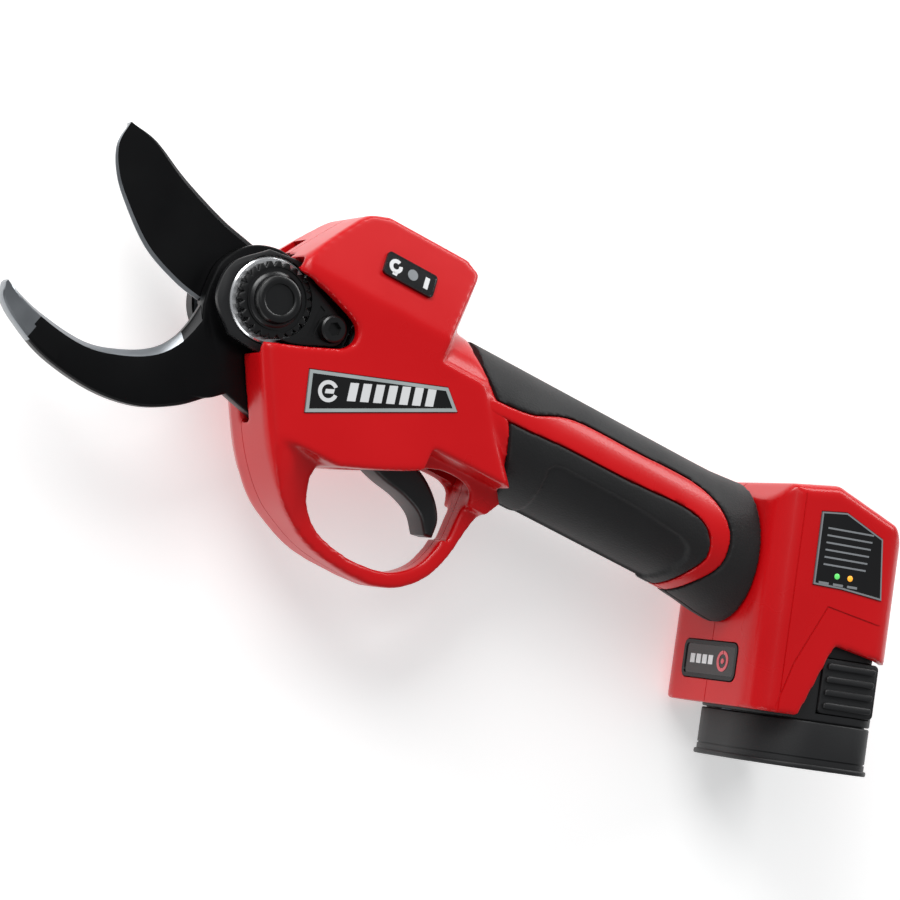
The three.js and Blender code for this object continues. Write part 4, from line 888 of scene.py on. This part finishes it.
def rating_marks():
    top = BASE_HALF + 0.2
    lines = [bar_mark(-3.6, 12.2 - 0.25 * i, 69.4 - i * 2.1, 69.9 - i * 2.1) for i in range(6)]
    lines += [bar_mark(-4.4 + i * 4.9, -1 + i * 4.9, 53.4, 54.1) for i in range(3)]
    return moved(raised_marks(lines, top, 0.1), LEAN)


def indicator(u):
    body = lathe([(0, 0), (0.85, 0), (0.85, 0.25), (0.6, 0.45), (0, 0.55)], 24)
    return moved(body, LEAN @ Matrix.Translation((u, 56.2, BASE_HALF + 0.15)))


# ---- the battery end ----
TO_FRONT = Matrix.Translation((-17.5, 0, 0)) @ Matrix.Rotation(-math.pi / 2, 4, "Y")


def power_button():
    """The wide button on the housing's front, with a sunk black face."""
    rim = rounded_box(-15, 15, 22, 33, 2.3, 6)
    plate = framed_plate(rim, 0, 2.75, 1.1, 0.35)
    return moved(plate, LEAN @ TO_FRONT)


def button_marks():
    top = 2.4
    white = raised_marks([bar_mark(-11 + i * 3.4, -8.6 + i * 3.4, 26.2, 28.9) for i in range(4)], top, 0.16)
    ring = raised_marks([arc_band(7.2, 27.5, 2.1, 3.1, 95, 445), disc(7.2, 27.5, 0.8)], top, 0.16)
    return [moved(piece, LEAN @ TO_FRONT) for piece in (white, ring)]


def cell_room():
    rooms = [moved(rod(9.45, 1.6, 67.2, segments=48), Matrix.Translation((u, 0, z)) @ ALONG_Y)
             for u, z in ((12.75, 9.3), (12.75, -9.3), (-3.55, 0))]
    return join(*rooms, box_solid(-5.4, 14.6, 1.6, 67.2, -10, 10))


def battery_base():
    """The pack's foot, with its thin lip at the bottom and a step line round it."""
    walls = upright(pack_rim(0), 0.6, 13.85, 0.5, 3)
    foot = upright(pack_rim(0.7), 0, 1.5, 0.45, 3)
    line = cut(upright(pack_rim(1), 3.1, 3.5), upright(pack_rim(-0.35), 2, 5))
    tongue = upright(pack_rim(-1.4), 13, 15.2)
    return moved(cut(join(walls, foot, tongue), line, cell_room()), LEAN)


def battery_tower():
    shoulders = upright(pack_rim(0), 14.15, 31.4, 0.5, 3)
    neck = upright(rounded_box(-13.8, 23.1, -24.6, 24.6, 7, 8, 19), 30.5, 38, 0.8, 3)
    tower = upright(rounded_box(-13.8, 23.1, -20, 20, 5), 37, 68.2, 1, 3)
    pockets = []
    for side in (-1, 1):
        low, high = sorted((side * 19.3, side * 40))
        pockets.append(box_solid(2.7, 22.3, 16.3, 32.9, low, high))
    slots = [box_solid(0, 10, 65.2, 70.2, z - 1, z + 1) for z in (-7.5, 0, 7.5)]
    board = box_solid(-11.4, -8.6, 43, 66.4, 3, 18.6)
    body = cut(join(shoulders, neck, tower), cell_room(), board, *pockets, *slots,
               upright(pack_rim(-1.2), 14, 15.3))
    return moved(body, LEAN)


def latch(side):
    """A release pad with four rounded ribs."""
    low, high = sorted((side * 22.4, side * 25.4))
    pad = prism(rounded_box(3, 22, 16.6, 32.6, 1.4, 5), low, high, 0.4, 2)
    for i in range(4):
        at = 19 + i * 3.8
        low, high = sorted((side * 24.6, side * 26.3))
        pad = join(pad, prism(rounded_box(4.2, 20.8, at - 1, at + 1, 0.95, 4), low, high, 0.55, 3))
    return moved(pad, LEAN)


# ---- settings ----
class PrunerColours(bpy.types.PropertyGroup):
    red: bpy.props.StringProperty(name="Housing", description="Red of the gloss housing",
                                  default="#D80A12")
    red_shade: bpy.props.StringProperty(name="Housing shade", description="Its darker drift",
                                        default="#C4060E")
    rubber: bpy.props.StringProperty(name="Rubber", description="Black of the grip", default="#1B1C1D")
    blade: bpy.props.StringProperty(name="Blade coat", description="Black of the blades' coat",
                                    default="#0E0F10")


class PrunerSizes(bpy.types.PropertyGroup):
    skin_step: bpy.props.FloatProperty(name="Skin step", default=0.75, min=0.4, max=2,
        description="Spacing of the housing's skin, in millimetres")
    skin_rounds: bpy.props.IntProperty(name="Edge rounding", default=7, min=0, max=40,
        description="How often the housing's edges are eased")
    floor_size: bpy.props.FloatProperty(name="Floor", default=6, unit="LENGTH",
        description="Side of the floor")
    light_level: bpy.props.FloatProperty(name="Light", default=1.0, min=0,
        description="Strength of all the studio lights")


# ---- operators ----
class PieceOperator:
    bl_options = {"REGISTER"}

    def execute(self, context):
        self.build()
        return {"FINISHED"}


class AddStage(PieceOperator, bpy.types.Operator):
    """Floor, soft lights and camera"""
    bl_idname = "pruner.add_stage"
    bl_label = "Add Stage"

    def build(self):
        add_floor()
        add_lights()
        add_camera()


class FinishNodes(PieceOperator, bpy.types.Operator):
    """Gives every mechanical piece inside the housing its real finish"""
    bl_idname = "pruner.finish_nodes"
    bl_label = "Finish Mechanical Pieces"

    def build(self):
        for entry in frame["record"]["subparts"]:
            node = frame["nodes"][entry["node"]]
            node.data.materials.clear()
            node.data.materials.append(FINISHES[entry["material_slot"]])


class AddHousing(PieceOperator, bpy.types.Operator):
    """The two halves of the red housing"""
    bl_idname = "pruner.add_housing"
    bl_label = "Add Housing"

    def build(self):
        for name, piece in housing_halves().items():
            node = name.replace("housing", "shell")
            settle(piece, name, "handle", "red_abs", [node], 40)
        for at, node in ((REAR_SCREW, "shell_screw_2"), (GUARD_SCREW, "shell_screw_3")):
            settle(small_screw(at), f"small_{node}", "handle", "zinc", [node], 30)
        settle(pivot_cap(), "pivot_cap", "handle", "black_nylon", crease=30)


class AddGrip(PieceOperator, bpy.types.Operator):
    """Rubber pads and the red stripe of the grip"""
    bl_idname = "pruner.add_grip"
    bl_label = "Add Grip"

    def build(self):
        for side, hand in ((1, "left"), (-1, "right")):
            settle(stripe_skin(side), f"{hand}_stripe", "handle", "red_abs", crease=45)
        for hand, piece in grip_rubber().items():
            settle(piece, f"{hand}_rubber", "handle", "grip_rubber",
                   [f"{hand}_grip_back", f"{hand}_grip_pad"], 45)


class AddBlades(PieceOperator, bpy.types.Operator):
    """The hooked fixed blade and the moving blade"""
    bl_idname = "pruner.add_blades"
    bl_label = "Add Blades"

    def build(self):
        steels = ["coated_steel", "ground_edge"]
        moving = moving_blade()
        paint_edges(moving, MOVING_EDGE[:-9], 3.4, (-0.99, 0.9))
        settle(moving, "cutting_blade", "blade", "coated_steel", ["moving_blade"], 18, steels)
        fixed = fixed_blade()
        paint_edges(fixed, HOOK_EDGE[6:-12], 1.9, (0.15, 0.97), LIGHT_TIP_FROM)
        settle(fixed, "hooked_blade", "handle", "coated_steel", ["fixed_blade"], 18, steels)


class AddPivot(PieceOperator, bpy.types.Operator):
    """Chrome ring, star nut, lock plate, its screw and the cover under them"""
    bl_idname = "pruner.add_pivot"
    bl_label = "Add Pivot"

    def build(self):
        for make, node, slot in ((chrome_ring, "spacer_ring", "chrome"),
                                 (star_nut, "star_nut", "black_oxide"),
                                 (lock_plate, "lock_plate", "black_oxide"),
                                 (lock_screw, "lock_screw", "black_oxide"),
                                 (gear_cover, "gear_cover", "black_nylon")):
            settle(make(), f"fine_{node}", "handle", slot, [node], 30)


class AddTrigger(PieceOperator, bpy.types.Operator):
    """The trigger inside the finger guard"""
    bl_idname = "pruner.add_trigger"
    bl_label = "Add Trigger"

    def build(self):
        settle(trigger(), "finger_trigger", "trigger", "black_nylon", ["trigger"], 30)


class AddPlates(PieceOperator, bpy.types.Operator):
    """Name plate, cheek badge and rating plate, with plain marks"""
    bl_idname = "pruner.add_plates"
    bl_label = "Add Plates"

    def build(self):
        def fix(piece, name, looks, nodes=()):
            settle(piece, name, "handle", "gloss_black", nodes, looks=looks)

        fix(name_plate(), "framed_name_plate", ["silver_trim", "gloss_black"], ["name_plate"])
        fix(name_marks(), "name_marks", ["white_print"])
        plate, white, grey = cheek_badge()
        fix(plate, "framed_cheek_badge", ["gloss_black", "gloss_black"], ["cheek_badge"])
        fix(white, "badge_white_marks", ["white_print"])
        fix(grey, "badge_grey_mark", ["grey_print"])
        fix(rating_plate(), "framed_rating_plate", ["grey_print", "gloss_black"], ["rating_plate"])
        fix(rating_marks(), "rating_marks", ["grey_print"])
        for name, u in (("green", 1.5), ("amber", 6.0)):
            fix(indicator(u), f"{name}_indicator", [f"{name}_lamp"])


class AddBattery(PieceOperator, bpy.types.Operator):
    """Battery pack, its release latches and the power button"""
    bl_idname = "pruner.add_battery"
    bl_label = "Add Battery"

    def build(self):
        settle(battery_base(), "pack_foot", "battery", "black_abs", ["battery_base"], 30)
        settle(battery_tower(), "pack_tower", "battery", "black_abs", ["battery_tower"], 30)
        for side, hand in ((1, "left"), (-1, "right")):
            settle(latch(side), f"{hand}_latch_pad", f"{hand}_latch", "black_abs", [f"{hand}_latch"], 30)
        settle(power_button(), "wide_power_button", "power_button", "gloss_black", ["power_button"], 30,
               ["black_abs", "gloss_black"])
        white, ring = button_marks()
        settle(white, "button_white_marks", "power_button", "gloss_black", looks=["white_print"])
        settle(ring, "button_ring", "power_button", "gloss_black", looks=["coral_print"])


# ---- stage ----
VIEW_ROLL = math.radians(25.18)  # the tool runs down to the right by this much
VIEW_LEAN = math.radians(26)  # the camera leans towards the blades
AIM = Vector((70.9, -11.3, 0))
DISTANCE = 900


def add_floor():
    bm = bmesh.new()
    bmesh.ops.create_grid(bm, x_segments=2, y_segments=2, size=SIZES.floor_size / 2)
    floor = new_object(bm, "floor")
    material, tree, shader, place = surface("matt_white_paint", {"Roughness": 0.9,
        "Emission Color": linear("#FFFFFF"), "Emission Strength": 0.42})
    shader.inputs["Base Color"].default_value = linear("#F4F4F3")
    floor.data.materials.append(material)


def add_light(name, at, aim, size, power):
    data = bpy.data.lights.new(name, "AREA")
    data.shape = "RECTANGLE"
    data.size, data.size_y = size
    data.energy = power * SIZES.light_level
    light = bpy.data.objects.new(name, data)
    light.location = at
    light.rotation_euler = (Vector(aim) - Vector(at)).to_track_quat("-Z", "Y").to_euler()
    bpy.context.scene.collection.objects.link(light)


def add_lights():
    middle = (0, 0, 0.02)
    add_light("key_softbox", (-0.75, 0.65, 0.75), middle, (0.7, 0.5), 9)
    add_light("back_strip", (0.5, 1.0, 0.5), middle, (1.2, 0.25), 7.5)
    add_light("front_fill", (-0.3, -1.1, 0.7), middle, (0.9, 0.4), 2.5)
    add_light("overhead", (-0.6, 0.5, 1.7), middle, (0.9, 0.9), 3.5)
    world = bpy.data.worlds.new("studio")
    world.use_nodes = True
    air = world.node_tree.nodes["Background"]
    air.inputs["Color"].default_value = (0.9, 0.92, 0.95, 1)
    air.inputs["Strength"].default_value = 0.26
    bpy.context.scene.world = world
    bpy.context.scene.view_settings.view_transform = "Standard"


def add_camera():
    along = Vector((math.cos(VIEW_ROLL), math.sin(VIEW_ROLL), 0))
    up = Vector((-math.sin(VIEW_ROLL), math.cos(VIEW_ROLL), 0))
    right = along * math.cos(VIEW_LEAN) + Vector((0, 0, math.sin(VIEW_LEAN)))
    back = Vector((0, 0, math.cos(VIEW_LEAN))) - along * math.sin(VIEW_LEAN)
    data = bpy.data.cameras.new("camera")
    data.sensor_width = 36
    data.lens = 128
    data.clip_end = 20
    camera = bpy.data.objects.new("camera", data)
    turn = Matrix((right, up, back)).transposed().to_4x4()
    turn.translation = TO_FRAME @ (AIM + back * DISTANCE)
    camera.matrix_world = turn
    bpy.context.scene.collection.objects.link(camera)
    bpy.context.scene.camera = camera


class PrunerPanel(bpy.types.Panel):
    bl_idname = "VIEW3D_PT_battery_pruner"
    bl_label = "Battery Pruner"
    bl_space_type = "VIEW_3D"
    bl_region_type = "UI"
    bl_category = "Pruner"

    def draw(self, context):
        for group in (context.scene.pruner_sizes, context.scene.pruner_colours):
            for key in group.__annotations__:
                self.layout.prop(group, key)
        for operator in OPERATORS:
            self.layout.operator(operator.bl_idname)


OPERATORS = (AddStage, FinishNodes, AddHousing, AddGrip, AddBlades, AddPivot, AddTrigger, AddPlates,
             AddBattery)
CLASSES = (PrunerColours, PrunerSizes) + OPERATORS + (PrunerPanel,)


def register():
    for one in CLASSES:
        bpy.utils.register_class(one)
    bpy.types.Scene.pruner_sizes = bpy.props.PointerProperty(type=PrunerSizes)
    bpy.types.Scene.pruner_colours = bpy.props.PointerProperty(type=PrunerColours)


def unregister():
    del bpy.types.Scene.pruner_colours
    del bpy.types.Scene.pruner_sizes
    for one in reversed(CLASSES):
        bpy.utils.unregister_class(one)


def main():
    global SIZES, COLOURS, FINISHES
    register()
    SIZES = bpy.context.scene.pruner_sizes
    COLOURS = bpy.context.scene.pruner_colours
    FINISHES = make_finishes()
    for operator in OPERATORS:
        group, name = operator.bl_idname.split(".")
        getattr(getattr(bpy.ops, group), name)()


if __name__ == "__main__":
    main()
